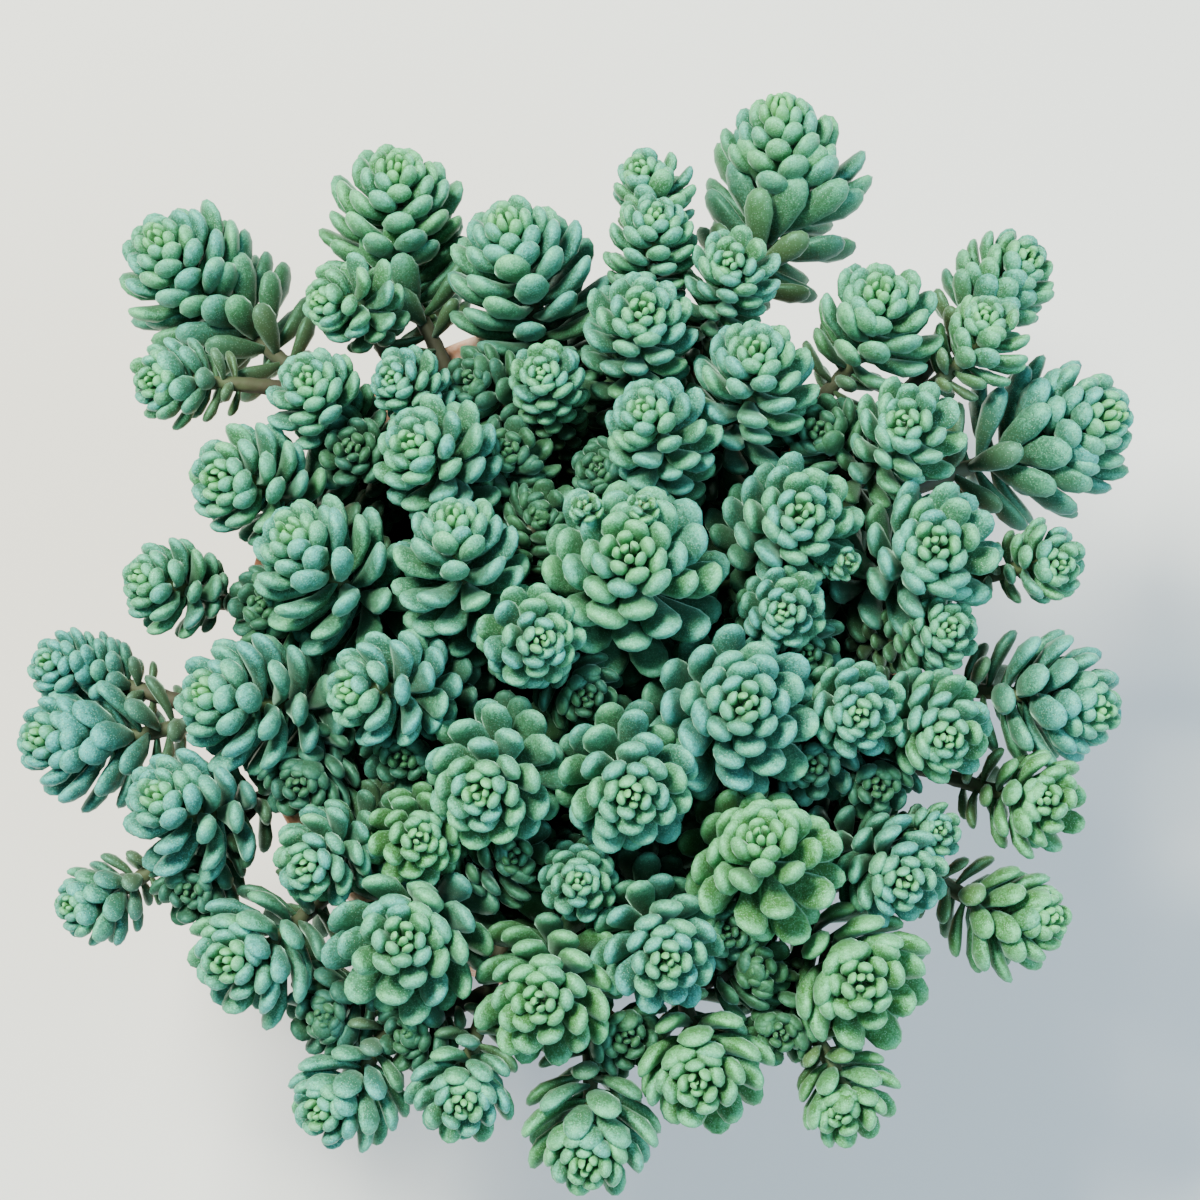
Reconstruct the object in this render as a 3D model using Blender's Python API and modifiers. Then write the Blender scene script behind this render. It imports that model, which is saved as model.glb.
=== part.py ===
"""A cushion of stonecrop growing in a small round clay pot.

The pot is turned, the soil fills it, and thin stems stand in holes in the soil. Each stem ends in a
rosette of plump leaves set in a golden-angle spiral. The rosettes were laid out on a flat sheet held
square to a sloping line of sight, and each is carried down that sight onto a low dome.
All sizes in the constants and tables are millimetres.
"""

import math

import bmesh
import bpy
import numpy as np
from mathutils import Vector

MM = 0.001
NAME = "potted_stonecrop"

# Pot
POT_HEIGHT = 62.0
POT_SIDES = 28
RIM_RADIUS = 36.0
RIM_HEIGHT = 13.0
RIM_STEP = 2.0
RIM_TAPER = 0.7
BASE_RADIUS = 25.0
WALL = 3.8
FLOOR = 5.0
DRAIN_RADIUS = 5.0
LIP_ROUND = 1.2

# Soil
SOIL_LEVEL = 58.5
SEAT_GAP = 0.3
HOLE_SIDES = 4
HOLE_DEPTH = 3.5

# Sheet that the rosettes were laid out on, and the dome under it
SIGHT_ELEVATION = math.radians(78.0)
SIGHT_DISTANCE = 450.0
SHEET_CENTRE = np.array((-0.6, -4.6, 82.0))
SHEET_AIM = (2.5, 5.1)
DOME_TOP = 90.0
DOME_EDGE = 72.0
DOME_REACH = 57.0
MOST_SHARE = 1.06

# Stems. One whose foot lies far enough beyond the rim crosses it: the last three say how far in from
# the rim, out from it and above it such a stem bends.
STEM_RADIUS = 0.9
STEM_SPREAD = 0.62
STEM_REACH = 28.0
STEM_ROOM = 0.15
CROSSES_FROM = 5.0
RISE_INSIDE = 5.2
FALL_OUTSIDE = 2.0
OVER_RIM = (2.6, 3.4)

# Pull of a stem's two ends on its curve, as shares of its height, and the lift of a branch's middle
ROOT_PULL = 0.45
FOOT_PULL = 0.3
BRANCH_LIFT = 1.0

# Bud, as shares of its rosette's reach
BUD_RADIUS = 0.5
BUD_HALF_LENGTH = 0.5
BUD_DEPTH = 0.52
BUD_SIDES = 5
BUD_RINGS = 3

# Rosettes: the most they lean, the share of that the reach gives back, how short their stems may be,
# and how far down the stem the lowest leaf may root
MOST_LEAN = 0.79
LEAN_REST = 0.25
LEAST_LENGTH = 1.1
FOOT_SHARE = 0.94
TURN_STEP = 2.4

# Young leaves round the bud, as shares of the reach: the first tip's distance from the axis, the last
# tip's depth, the first and last roots' depths, and the powers by which the depths grow
GOLDEN_ANGLE = math.radians(137.508)
FEWEST_LEAVES = 6
TINY_LEAVES = 4
TINY_REACH = 2.5
FIRST_SHARE = 0.62
TIP_DEPTH = 0.5
TIP_POWER = 1.6
ROOT_DEPTHS = (0.25, 0.85)
ROOT_POWER = 1.1

# Older leaves down the stem: the step from one to the next, how much more their tips droop at each
# step, and the share of the reach each one loses
LEAF_STEP = 0.32
TIP_DROOP = 1.05
REACH_LOSS = 0.02

# Leaf width as a share of the distance out, then thickness as a share of the width, at bud and at edge
LEAF_WIDTHS = (0.86, 0.66)
LEAF_THICKNESSES = (0.62, 0.52)
LEAST_WIDTH = 0.25
WIDTH_KEPT = 0.4

# Gap kept to other nodes. The ellipsoid that a leaf fills: its middle and its bow as shares of the
# leaf's length, and its half axes as shares of the length, width and thickness.
CLEAR = 0.32
FILL_MIDDLE = 0.56
FILL_BOW = 0.07
FILL_HALVES = (0.45, 0.5, 0.5)

# Leaf solid: sides, rings, and its outline as height on the ball it is made from, share of its length
# there and share of its width
LEAF_SIDES = 3
LEAF_RINGS = 3
TINY_RINGS = 2
LEAF_TURN = math.radians(30)
LEAF_OUTLINE = np.array(
    [(-1.0, 0.0, 0.0), (-0.5, 0.36, 0.62), (0.0, 0.62, 1.0), (0.5, 0.80, 0.88), (1.0, 1.0, 0.0)]
)
LEAF_SIDE_FIT = 1.15
LEAF_BACK_FIT = 1.1
LEAF_BOW = 0.28

# Bud x, y and foot x, y of each rosette on the sheet, its reach, how far it lies below the dome, and
# its tone from blue (-1) to green (1)
ROSETTES = [
    ("01", -42.3, 41.9, -34.0, 32.6, 7.5, 0.0, 0.1),
    ("02", -43.8, 27.1, -37.0, 26.6, 4.6, 2.0, 0.1),
    ("03", -17.8, 49.3, -18.0, 36.6, 7.3, 0.0, 0.4),
    ("04", -26.0, 35.1, -21.0, 35.1, 4.8, 2.0, 0.2),
    ("05", -7.3, 43.9, -4.0, 34.1, 8.0, 0.0, 0.0),
    ("06", -3.5, 27.9, -2.7, 27.6, 3.9, 3.0, 0.1),
    ("07", 6.2, 48.6, 8.5, 46.1, 4.5, 2.0, 0.2),
    ("08", 8.2, 44.1, 7.7, 40.6, 4.7, 0.5, 0.1),
    ("09", 15.3, 38.9, 16.5, 38.3, 4.7, 1.0, 0.1),
    ("10", 20.0, 53.6, 21.0, 41.6, 8.0, 0.0, 0.2),
    ("11", 6.8, 34.3, 6.5, 32.6, 5.8, 0.0, 0.1),
    ("12", 18.1, 30.6, 18.3, 26.6, 6.4, 0.0, 0.0),
    ("13", 30.7, 36.4, 30.3, 31.6, 6.9, 0.0, 0.3),
    ("14", 45.8, 39.9, 41.0, 35.1, 5.5, 2.0, 0.2),
    ("15", 41.0, 33.9, 41.5, 30.6, 5.0, 0.0, 0.3),
    ("16", 53.7, 23.9, 43.5, 20.1, 7.8, 0.0, -0.2),
    ("17", 32.8, 23.1, 34.0, 21.9, 5.8, 0.0, 0.2),
    ("18", 6.5, 24.6, 9.0, 21.6, 5.7, 1.0, 0.0),
    ("19", 22.7, 13.9, 22.0, 13.1, 6.8, 2.0, 0.0),
    ("20", 36.2, 10.8, 36.2, 9.6, 7.5, 0.0, 0.0),
    ("21", 48.7, 8.6, 47.0, 9.1, 4.5, 0.0, 0.2),
    ("22", -27.0, 27.6, -25.7, 25.1, 5.2, 1.0, 0.1),
    ("23", -18.7, 27.3, -16.5, 27.1, 3.8, 3.0, -0.1),
    ("24", -16.7, 21.1, -13.5, 19.6, 6.2, 1.0, 0.0),
    ("25", -36.3, 17.6, -32.0, 17.1, 6.3, 0.0, 0.1),
    ("26", -29.2, 12.4, -23.0, 6.1, 7.3, 0.0, -0.1),
    ("27", -12.3, 14.1, -11.5, 6.6, 6.5, 0.0, -0.1),
    ("28", 5.3, 10.1, 5.7, 7.6, 9.6, -1.0, 0.1),
    ("29", -44.2, 7.6, -39.0, 6.1, 5.0, 3.0, 0.1),
    ("30", -3.3, 1.1, -4.7, 1.6, 5.2, 0.0, 0.0),
    ("31", 20.8, 3.9, 21.2, 4.3, 4.3, 4.0, 0.0),
    ("32", 17.0, -5.1, 16.0, -6.1, 8.7, 0.0, -0.3),
    ("33", 28.5, -6.4, 28.2, -5.9, 5.0, 1.0, 0.0),
    ("34", 37.5, 2.3, 37.0, 1.9, 3.9, 4.0, 0.1),
    ("35", 37.3, -8.9, 36.8, -7.4, 5.6, 0.0, 0.2),
    ("36", 52.5, -6.1, 45.0, -4.4, 6.8, 0.0, -0.1),
    ("37", 47.2, -14.7, 46.5, -15.4, 5.7, 0.0, 0.8),
    ("38", 48.2, -26.7, 42.5, -27.4, 6.0, 2.0, 0.6),
    ("39", -38.0, -3.9, -31.0, -5.7, 7.3, 1.0, -0.3),
    ("40", -23.5, -3.9, -18.0, -3.9, 5.9, 0.0, -0.1),
    ("41", -53.5, -0.9, -47.0, -2.9, 4.2, 2.0, -0.6),
    ("42", -54.0, -8.4, -46.0, -9.4, 6.6, 0.0, -0.6),
    ("43", -42.5, -13.9, -37.5, -17.1, 7.0, 0.0, -0.3),
    ("44", -51.0, -25.4, -47.0, -25.4, 4.6, 3.0, -0.2),
    ("45", -27.3, -21.7, -25.0, -20.4, 5.1, 1.0, 0.0),
    ("46", -15.5, -18.7, -16.3, -18.7, 5.0, 4.0, 0.7),
    ("47", -9.7, -14.4, -8.0, -12.4, 7.1, 0.0, 0.1),
    ("48", 5.8, -14.7, 5.3, -12.9, 7.2, 0.0, 0.0),
    ("49", 18.5, -18.1, 19.5, -22.4, 7.6, 0.0, 0.8),
    ("50", 33.2, -23.2, 32.2, -21.9, 5.8, 2.0, -0.1),
    ("51", 36.5, -17.9, 36.0, -18.1, 3.3, 5.0, 0.1),
    ("52", 0.5, -22.9, 0.2, -23.5, 3.8, 5.0, 0.0),
    ("53", 9.3, -31.1, 8.3, -29.9, 6.6, 0.0, -0.1),
    ("54", 28.8, -33.1, 28.1, -32.9, 8.3, 0.0, 0.7),
    ("55", -17.2, -28.7, -17.0, -29.4, 8.1, 0.0, 0.1),
    ("56", -35.3, -31.1, -31.3, -30.4, 7.1, 0.0, 0.0),
    ("57", -3.8, -35.2, -2.5, -34.7, 7.4, 0.0, 0.4),
    ("58", -26.2, -46.4, -22.0, -44.4, 6.1, 0.0, -0.1),
    ("59", -11.2, -45.6, -11.5, -43.9, 5.8, 0.0, 0.1),
    ("60", 12.2, -43.4, 13.0, -41.4, 7.3, 0.0, 0.5),
    ("61", 1.0, -51.4, 1.7, -46.9, 6.9, 0.0, 0.3),
    ("62", 26.3, -46.2, 28.0, -44.9, 5.4, 1.0, 0.6),
    ("63", 27.3, 9.1, 26.9, 9.0, 2.0, 5.0, 0.2),
    ("64", 0.8, 14.8, 1.2, 14.2, 1.7, -0.5, 0.3),
    ("65", 6.8, 14.9, 6.6, 14.3, 1.8, -0.5, 0.3),
]

# Rosettes that branch from the stem of another
BRANCHES = {
    "02": "01",
    "07": "08",
    "14": "15",
    "41": "42",
    "44": "43",
    "51": "50",
    "63": "19",
    "64": "28",
    "65": "28",
}

# Degrees by which a stem's hole is turned round the pot from its foot's bearing, to clear a neighbour
HOLE_TURNS = {"09": 8, "10": -8}


def unit(vector):
    return np.asarray(vector, float) / np.linalg.norm(vector)


RIGHT = np.array((1.0, 0.0, 0.0))
UP = np.array((0.0, math.sin(SIGHT_ELEVATION), math.cos(SIGHT_ELEVATION)))
SIGHT = np.array((0.0, -math.cos(SIGHT_ELEVATION), math.sin(SIGHT_ELEVATION)))
EYE = SHEET_CENTRE + SHEET_AIM[0] * RIGHT + SHEET_AIM[1] * UP + SIGHT_DISTANCE * SIGHT


def carried_down(x, y, below):
    """The point on the sight line through (x, y) of the sheet that lies that far below the dome."""
    ray = SHEET_CENTRE + x * RIGHT + y * UP - EYE
    height = DOME_TOP
    for _ in range(6):
        point = EYE + ray * (height - EYE[2]) / ray[2]
        share = min(MOST_SHARE, math.hypot(point[0], point[1]) / DOME_REACH)
        height = DOME_TOP - (DOME_TOP - DOME_EDGE) * share**2 - below
    return point


def placed_rosette(row):
    """A rosette's bud, axis, side directions and lengths. It leans by its foot's offset on the sheet."""
    name, bud_x, bud_y, foot_x, foot_y, reach, below, tone = row
    offset = np.array((bud_x - foot_x, bud_y - foot_y))
    shift = np.linalg.norm(offset)
    lean = min(MOST_LEAN, shift / (reach + LEAN_REST * shift))
    bud = carried_down(bud_x, bud_y, below)
    sight = unit(EYE - bud)
    across = unit(np.cross(UP, sight))
    upward = np.cross(sight, across)
    axis = (across * offset[0] + upward * offset[1]) / shift * lean + sight * math.sqrt(1 - lean**2)
    side = unit(np.cross(axis, RIGHT + 0.3 * UP))
    return {
        "name": name,
        "node": BRANCHES.get(name, name),
        "bud": bud,
        "axis": axis,
        "side": side,
        "other": np.cross(axis, side),
        "reach": reach,
        "length": max(LEAST_LENGTH * reach, shift / lean),
        "tone": tone,
        "turn": int(name) * TURN_STEP,
    }


def between(ends, share):
    """The value that share of the way from the first end to the second."""
    return ends[0] + (ends[1] - ends[0]) * share


def young_leaves(reach):
    """How many leaves stand round the bud."""
    if reach < TINY_REACH:
        return TINY_LEAVES
    return FEWEST_LEAVES + (reach > 5) + (reach > 7)


def spiral(reach, length):
    """Tip distance from the axis, tip depth and root depth below the bud, for each leaf in turn.

    Distances grow quickly at first and then hardly, up to the reach, and the leaves below that come
    one step further down the stem each.
    """
    share = between((FIRST_SHARE, 1), np.sin(np.linspace(0, math.pi / 2, young_leaves(reach))))
    out = reach * share
    tip = reach * TIP_DEPTH * share**TIP_POWER
    root = reach * between(ROOT_DEPTHS, share**ROOT_POWER)
    step = LEAF_STEP * reach
    older = np.arange(1, int((FOOT_SHARE * length - root[-1]) / step) + 1)
    out = np.concatenate([out, reach * (1 - REACH_LOSS * older)])
    tip = np.concatenate([tip, tip[-1] + TIP_DROOP * step * older])
    root = np.concatenate([root, root[-1] + step * older])
    return out, tip, root


def made_leaf(root, tip, axis, width, thick, share):
    """A leaf's frame: along it, its upper side, which faces the bud, and its right side."""
    chord = tip - root
    along = unit(chord)
    upper = unit(axis - along * np.dot(axis, along))
    return {
        "root": root,
        "along": along,
        "upper": upper,
        "side": np.cross(upper, along),
        "length": float(np.linalg.norm(chord)),
        "width": width,
        "thick": thick,
        "share": share,
    }


def leaf_set(rosette):
    """Every leaf of a rosette, from the bud outwards."""
    out, tip_depth, root_depth = spiral(rosette["reach"], rosette["length"])
    bud, axis = rosette["bud"], rosette["axis"]
    leaves = []
    for number in range(len(out)):
        angle = number * GOLDEN_ANGLE + rosette["turn"]
        outward = math.cos(angle) * rosette["side"] + math.sin(angle) * rosette["other"]
        root = bud - axis * root_depth[number]
        tip = bud - axis * tip_depth[number] + outward * out[number]
        share = out[number] / rosette["reach"]
        width = out[number] * between(LEAF_WIDTHS, share) + LEAST_WIDTH
        thick = width * between(LEAF_THICKNESSES, share)
        leaves.append(made_leaf(root, tip, axis, width, thick, share))
    return leaves


def turned_leaf(leaf, axis, lift, swing, shorter):
    """The leaf lifted towards the axis, swung round it and shortened, about its root."""
    along = math.cos(lift) * leaf["along"] + math.sin(lift) * leaf["upper"]
    along = unit(math.cos(swing) * along + math.sin(swing) * leaf["side"])
    tip = leaf["root"] + along * leaf["length"] * shorter
    width = leaf["width"] * between((WIDTH_KEPT, 1), shorter)
    return made_leaf(leaf["root"], tip, axis, width, leaf["thick"], leaf["share"])


# Points of a unit ball, for telling whether two leaves touch
BALL = np.array(
    [
        (math.cos(turn) * math.cos(tilt), math.sin(turn) * math.cos(tilt), math.sin(tilt))
        for tilt in (-1.2, -0.7, -0.2, 0.3, 0.8, 1.3)
        for turn in np.linspace(0, 2 * math.pi, 9)[:-1]
    ]
)


def ball_of(leaf):
    """The middle and the three half axes, in rows, of the ellipsoid that a leaf fills."""
    middle = leaf["root"] + leaf["length"] * (FILL_MIDDLE * leaf["along"] - FILL_BOW * leaf["upper"])
    axes = np.array([leaf["along"], leaf["side"], leaf["upper"]])
    sizes = np.array([leaf["length"], leaf["width"], leaf["thick"]])
    return middle, axes * (sizes * FILL_HALVES)[:, None]


def grown(halves, by):
    lengths = np.linalg.norm(halves, axis=1, keepdims=True)
    return halves * (1 + by / lengths)


class Crowd:
    """The ellipsoids that are already taken, each with the node that owns it."""

    def __init__(self):
        self.middles = np.zeros((0, 3))
        self.halves = np.zeros((0, 3, 3))
        self.owners = np.zeros(0, int)

    def add(self, middle, halves, owner):
        self.middles = np.vstack([self.middles, middle])
        self.halves = np.concatenate([self.halves, halves[None]])
        self.owners = np.append(self.owners, owner)

    def blocks(self, middle, halves, owner):
        """Whether the ellipsoid, with its clearance, meets one of another node."""
        reach = np.linalg.norm(halves, axis=1).max()
        far = np.linalg.norm(self.halves, axis=2).max(axis=1)
        near = np.linalg.norm(self.middles - middle, axis=1) < reach + far + CLEAR
        near &= self.owners != owner
        if not near.any():
            return False
        mine = grown(halves, CLEAR)
        inverse = np.linalg.inv(mine)
        points = middle + BALL @ mine
        for other_middle, other in zip(self.middles[near], self.halves[near]):
            theirs = (other_middle + BALL @ other - middle) @ inverse
            ours = (points - other_middle) @ np.linalg.inv(other)
            if (theirs**2).sum(axis=1).min() < 1 or (ours**2).sum(axis=1).min() < 1:
                return True
        return False


def in_pot_or_soil(middle, halves):
    """Whether the ellipsoid meets the pot's rim or the soil."""
    points = middle + BALL @ halves
    radius = np.hypot(points[:, 0], points[:, 1])
    inside = (radius < RIM_RADIUS + 2 * SEAT_GAP) & (points[:, 2] < POT_HEIGHT + 2 * SEAT_GAP)
    return bool(inside.any())


def ways_to_turn():
    """Lift, swing and share of length of each try at fitting a leaf in, least change first."""
    ways = [(0.0, 0.0, 1.0)]
    for degrees in (6, 12, 18, 25, 32, 40, 48):
        turn = math.radians(degrees)
        ways.append((turn, 0.0, 1 - degrees / 220))
        ways.append((0.6 * turn, 0.8 * turn, 1 - degrees / 200))
        ways.append((0.6 * turn, -0.8 * turn, 1 - degrees / 200))
        ways.append((-0.6 * turn, 0.0, 1 - degrees / 160))
    return ways


def fitted(leaf, axis, crowd, owner):
    """The leaf, turned as little as it takes to stay clear of the other nodes, or None."""
    for lift, swing, shorter in ways_to_turn():
        trial = turned_leaf(leaf, axis, lift, swing, shorter)
        middle, halves = ball_of(trial)
        if not crowd.blocks(middle, halves, owner) and not in_pot_or_soil(middle, halves):
            crowd.add(middle, halves, owner)
            return trial
    return None


def bezier(start, first, second, end, share):
    rest = 1 - share
    return start * rest**3 + first * 3 * rest**2 * share + second * 3 * rest * share**2 + end * share**3


def over_the_rim(start, foot):
    """A stem that rises inside the rim, crosses over it and comes down to its foot outside."""
    way = unit((foot[0], foot[1], 0.0))
    rise = way * (RIM_RADIUS - RISE_INSIDE) + (0, 0, POT_HEIGHT + OVER_RIM[0])
    across = way * (RIM_RADIUS + FALL_OUTSIDE) + (0, 0, POT_HEIGHT + OVER_RIM[1])
    return [start, rise, across, foot]


def stem_path(rosette, parent):
    """Points up the middle of a stem, from its hole in the soil, or from its parent stem, to the foot."""
    foot = rosette["bud"] - rosette["axis"] * rosette["length"] * FOOT_SHARE
    if parent is not None:
        start = parent["path"][-2]
        return [start, (start + foot) / 2 + (0, 0, BRANCH_LIFT), foot]
    distance = min(STEM_REACH, STEM_SPREAD * np.linalg.norm(foot[:2]))
    bearing = math.atan2(foot[1], foot[0]) + math.radians(HOLE_TURNS.get(rosette["name"], 0))
    low = SOIL_LEVEL - HOLE_DEPTH + SEAT_GAP
    start = np.array((distance * math.cos(bearing), distance * math.sin(bearing), low))
    if np.linalg.norm(foot[:2]) > RIM_RADIUS + CROSSES_FROM:
        return over_the_rim(start, foot)
    height = foot[2] - start[2]
    first = start + (0, 0, ROOT_PULL * height)
    second = foot - rosette["axis"] * FOOT_PULL * height
    return [bezier(start, first, second, foot, share) for share in (0, 0.5, 1)]


def bud_middle(rosette):
    return rosette["bud"] - rosette["axis"] * BUD_DEPTH * rosette["reach"]


def claim_stem(rosette, crowd):
    """Adds a slim ellipsoid to the crowd for each stretch of the stem, and a ball for its bud."""
    owner = int(rosette["node"])
    middle = bud_middle(rosette)
    crowd.add(middle, BUD_RADIUS * rosette["reach"] * np.eye(3), owner)
    way = rosette["path"] + [middle]
    thick = STEM_RADIUS + STEM_ROOM
    for low, high in zip(way, way[1:]):
        along = unit(high - low)
        side = unit(np.cross(along, (1.0, 0.2, 0.1)))
        half = along * FILL_MIDDLE * np.linalg.norm(high - low)
        halves = np.array([half, side * thick, np.cross(along, side) * thick])
        crowd.add((low + high) / 2, halves, owner)


def laid_out():
    """Every rosette with its stem and its fitted leaves. The highest ones take their room first."""
    rosettes = {row[0]: placed_rosette(row) for row in ROSETTES}
    crowd = Crowd()
    for name in sorted(rosettes, key=lambda key: key in BRANCHES):
        rosette = rosettes[name]
        rosette["path"] = stem_path(rosette, rosettes.get(BRANCHES.get(name)))
        claim_stem(rosette, crowd)
    for rosette in sorted(rosettes.values(), key=lambda each: -each["bud"][2]):
        axis, owner = rosette["axis"], int(rosette["node"])
        kept = [fitted(leaf, axis, crowd, owner) for leaf in leaf_set(rosette)]
        rosette["leaves"] = [leaf for leaf in kept if leaf is not None]
    return rosettes


def clear_scene():
    for thing in list(bpy.data.objects):
        bpy.data.objects.remove(thing, do_unlink=True)


def collection(name, hidden=False):
    made = bpy.data.collections.new(name)
    bpy.context.scene.collection.children.link(made)
    made.hide_render = hidden
    return made


def material(name, colour, roughness):
    made = bpy.data.materials.new(name)
    made.use_nodes = True
    shader = made.node_tree.nodes["Principled BSDF"]
    shader.inputs["Base Color"].default_value = (*colour, 1.0)
    shader.inputs["Roughness"].default_value = roughness
    shader.inputs["Metallic"].default_value = 0.0
    return made


def new_object(name, mesh, group):
    thing = bpy.data.objects.new(name, mesh)
    group.objects.link(thing)
    return thing


def cone(name, sides, radii, low, high, group):
    """A straight-sided solid between two points, with a radius at each, in the collection given."""
    way = Vector(high - low)
    bpy.ops.mesh.primitive_cone_add(
        vertices=sides,
        radius1=radii[0] * MM,
        radius2=radii[1] * MM,
        depth=way.length * MM,
        location=(low + high) / 2 * MM,
        rotation=way.to_track_quat("Z", "Y").to_euler(),
    )
    thing = bpy.context.object
    thing.name = name
    for old in list(thing.users_collection):
        old.objects.unlink(thing)
    group.objects.link(thing)
    return thing


def outer_radius(height):
    """The pot's outer side below its rim band, a straight taper."""
    share = height / (POT_HEIGHT - RIM_HEIGHT)
    return BASE_RADIUS + (RIM_RADIUS - RIM_STEP - BASE_RADIUS) * share


def inner_radius(height):
    """The pot's inner side, one straight taper from the floor to the lip."""
    share = (height - FLOOR) / (POT_HEIGHT - FLOOR)
    low = outer_radius(FLOOR) - WALL
    return low + (RIM_RADIUS - WALL - low) * share


def add_pot(group):
    """The pot, turned from a profile that runs down its outer side and back up inside."""
    rim_foot = POT_HEIGHT - RIM_HEIGHT
    profile = [
        (RIM_RADIUS - LIP_ROUND, POT_HEIGHT),
        (RIM_RADIUS, POT_HEIGHT - LIP_ROUND),
        (RIM_RADIUS - RIM_TAPER, rim_foot + LIP_ROUND),
        (RIM_RADIUS - RIM_TAPER - LIP_ROUND / 2, rim_foot),
        (outer_radius(rim_foot), rim_foot),
        (BASE_RADIUS, LIP_ROUND),
        (BASE_RADIUS - LIP_ROUND, 0.0),
        (DRAIN_RADIUS, 0.0),
        (DRAIN_RADIUS, FLOOR),
        (inner_radius(FLOOR), FLOOR),
        (inner_radius(POT_HEIGHT - LIP_ROUND), POT_HEIGHT - LIP_ROUND),
        (inner_radius(POT_HEIGHT) + LIP_ROUND / 2, POT_HEIGHT),
    ]
    points = [(radius * MM, 0.0, height * MM) for radius, height in profile]
    edges = [(number, (number + 1) % len(points)) for number in range(len(points))]
    mesh = bpy.data.meshes.new("pot")
    mesh.from_pydata(points, edges, [])
    mesh.materials.append(material("fired_clay", (0.56, 0.27, 0.16), 0.85))
    pot = new_object("pot", mesh, group)
    screw = pot.modifiers.new("turn", "SCREW")
    screw.steps = POT_SIDES
    screw.render_steps = POT_SIDES
    screw.use_merge_vertices = True
    screw.merge_threshold = 0.00001
    screw.use_smooth_shade = True


def add_soil(group, cutters, roots):
    """The soil, a plain plug that fills the pot, with a square hole for each stem along its slope."""
    low, high = FLOOR + SEAT_GAP, SOIL_LEVEL
    radii = [inner_radius(low) - SEAT_GAP, inner_radius(high) - SEAT_GAP]
    soil = cone("soil", POT_SIDES, radii, np.array((0, 0, low)), np.array((0, 0, high)), group)
    soil.data.materials.append(material("potting_soil", (0.05, 0.035, 0.025), 0.95))
    radius = (STEM_RADIUS + SEAT_GAP) / math.cos(math.pi / HOLE_SIDES)
    for rosette in roots:
        start = rosette["path"][0]
        along = unit(rosette["path"][1] - start)
        foot, mouth = start - along * SEAT_GAP, start + along * 3 * HOLE_DEPTH
        hole = cone("hole_" + rosette["name"], HOLE_SIDES, [radius, radius], foot, mouth, cutters)
        hole.hide_render = True
        hole.display_type = "WIRE"
    cut = soil.modifiers.new("stem_holes", "BOOLEAN")
    cut.operation = "DIFFERENCE"
    cut.operand_type = "COLLECTION"
    cut.collection = cutters


def moulded_ball(name, sides, rings, mould):
    """A ball of few sides, with its points moved to where the mould puts them."""
    net = bmesh.new()
    bmesh.ops.create_uvsphere(net, u_segments=sides, v_segments=rings, radius=1.0)
    points = mould(np.array([vertex.co for vertex in net.verts]))
    for vertex, point in zip(net.verts, points):
        vertex.co = point * MM
    mesh = bpy.data.meshes.new(name)
    net.to_mesh(mesh)
    net.free()
    return mesh


def leaf_points(leaf, ball):
    """The ball drawn out from root to tip, flattened, and bowed to its back."""
    angle = np.arctan2(ball[:, 1], ball[:, 0]) + LEAF_TURN
    share = np.interp(ball[:, 2], LEAF_OUTLINE[:, 0], LEAF_OUTLINE[:, 1])
    wide = 0.5 * np.interp(ball[:, 2], LEAF_OUTLINE[:, 0], LEAF_OUTLINE[:, 2])
    across = np.cos(angle) * wide * leaf["width"] * LEAF_SIDE_FIT
    height = np.sin(angle) * wide * leaf["thick"] * LEAF_BACK_FIT
    height -= LEAF_BOW * leaf["length"] * share * (1 - share)
    points = leaf["root"] + np.outer(share * leaf["length"], leaf["along"])
    return points + np.outer(across, leaf["side"]) + np.outer(height, leaf["upper"])


def bud_points(rosette, ball):
    """The ball stretched to the bud's size, with its poles on the rosette's axis."""
    frame = np.array([rosette["side"], rosette["other"], rosette["axis"]])
    widest = np.hypot(ball[:, 0], ball[:, 1]).max()
    size = np.array([BUD_RADIUS / widest, BUD_RADIUS / widest, BUD_HALF_LENGTH]) * rosette["reach"]
    return bud_middle(rosette) + (ball * size) @ frame


def stem_mesh(path):
    """A tube through the points, drawn as a curve and then closed."""
    curve = bpy.data.curves.new("stem", "CURVE")
    curve.dimensions = "3D"
    curve.bevel_depth = STEM_RADIUS * MM
    curve.bevel_resolution = 0
    curve.use_fill_caps = True
    spline = curve.splines.new("POLY")
    spline.points.add(len(path) - 1)
    for point, place in zip(spline.points, path):
        point.co = (*(place * MM), 1.0)
    guide = new_object("stem", curve, bpy.context.scene.collection)
    mesh = evaluated_mesh(guide)
    bpy.data.objects.remove(guide)
    net = bmesh.new()
    net.from_mesh(mesh)
    bmesh.ops.remove_doubles(net, verts=net.verts, dist=0.00001)
    net.to_mesh(mesh)
    net.free()
    return mesh


def evaluated_mesh(thing):
    graph = bpy.context.evaluated_depsgraph_get()
    return bpy.data.meshes.new_from_object(thing.evaluated_get(graph))


def rosette_meshes(rosette):
    """The stem, the bud and the leaves, as separate closed meshes."""
    rings = TINY_RINGS if rosette["reach"] < TINY_REACH else LEAF_RINGS
    meshes = [stem_mesh(rosette["path"] + [bud_middle(rosette)])]
    meshes.append(moulded_ball("bud", BUD_SIDES, BUD_RINGS, lambda ball: bud_points(rosette, ball)))
    for leaf in rosette["leaves"]:
        meshes.append(moulded_ball("leaf", LEAF_SIDES, rings, lambda ball: leaf_points(leaf, ball)))
    return meshes


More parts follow.
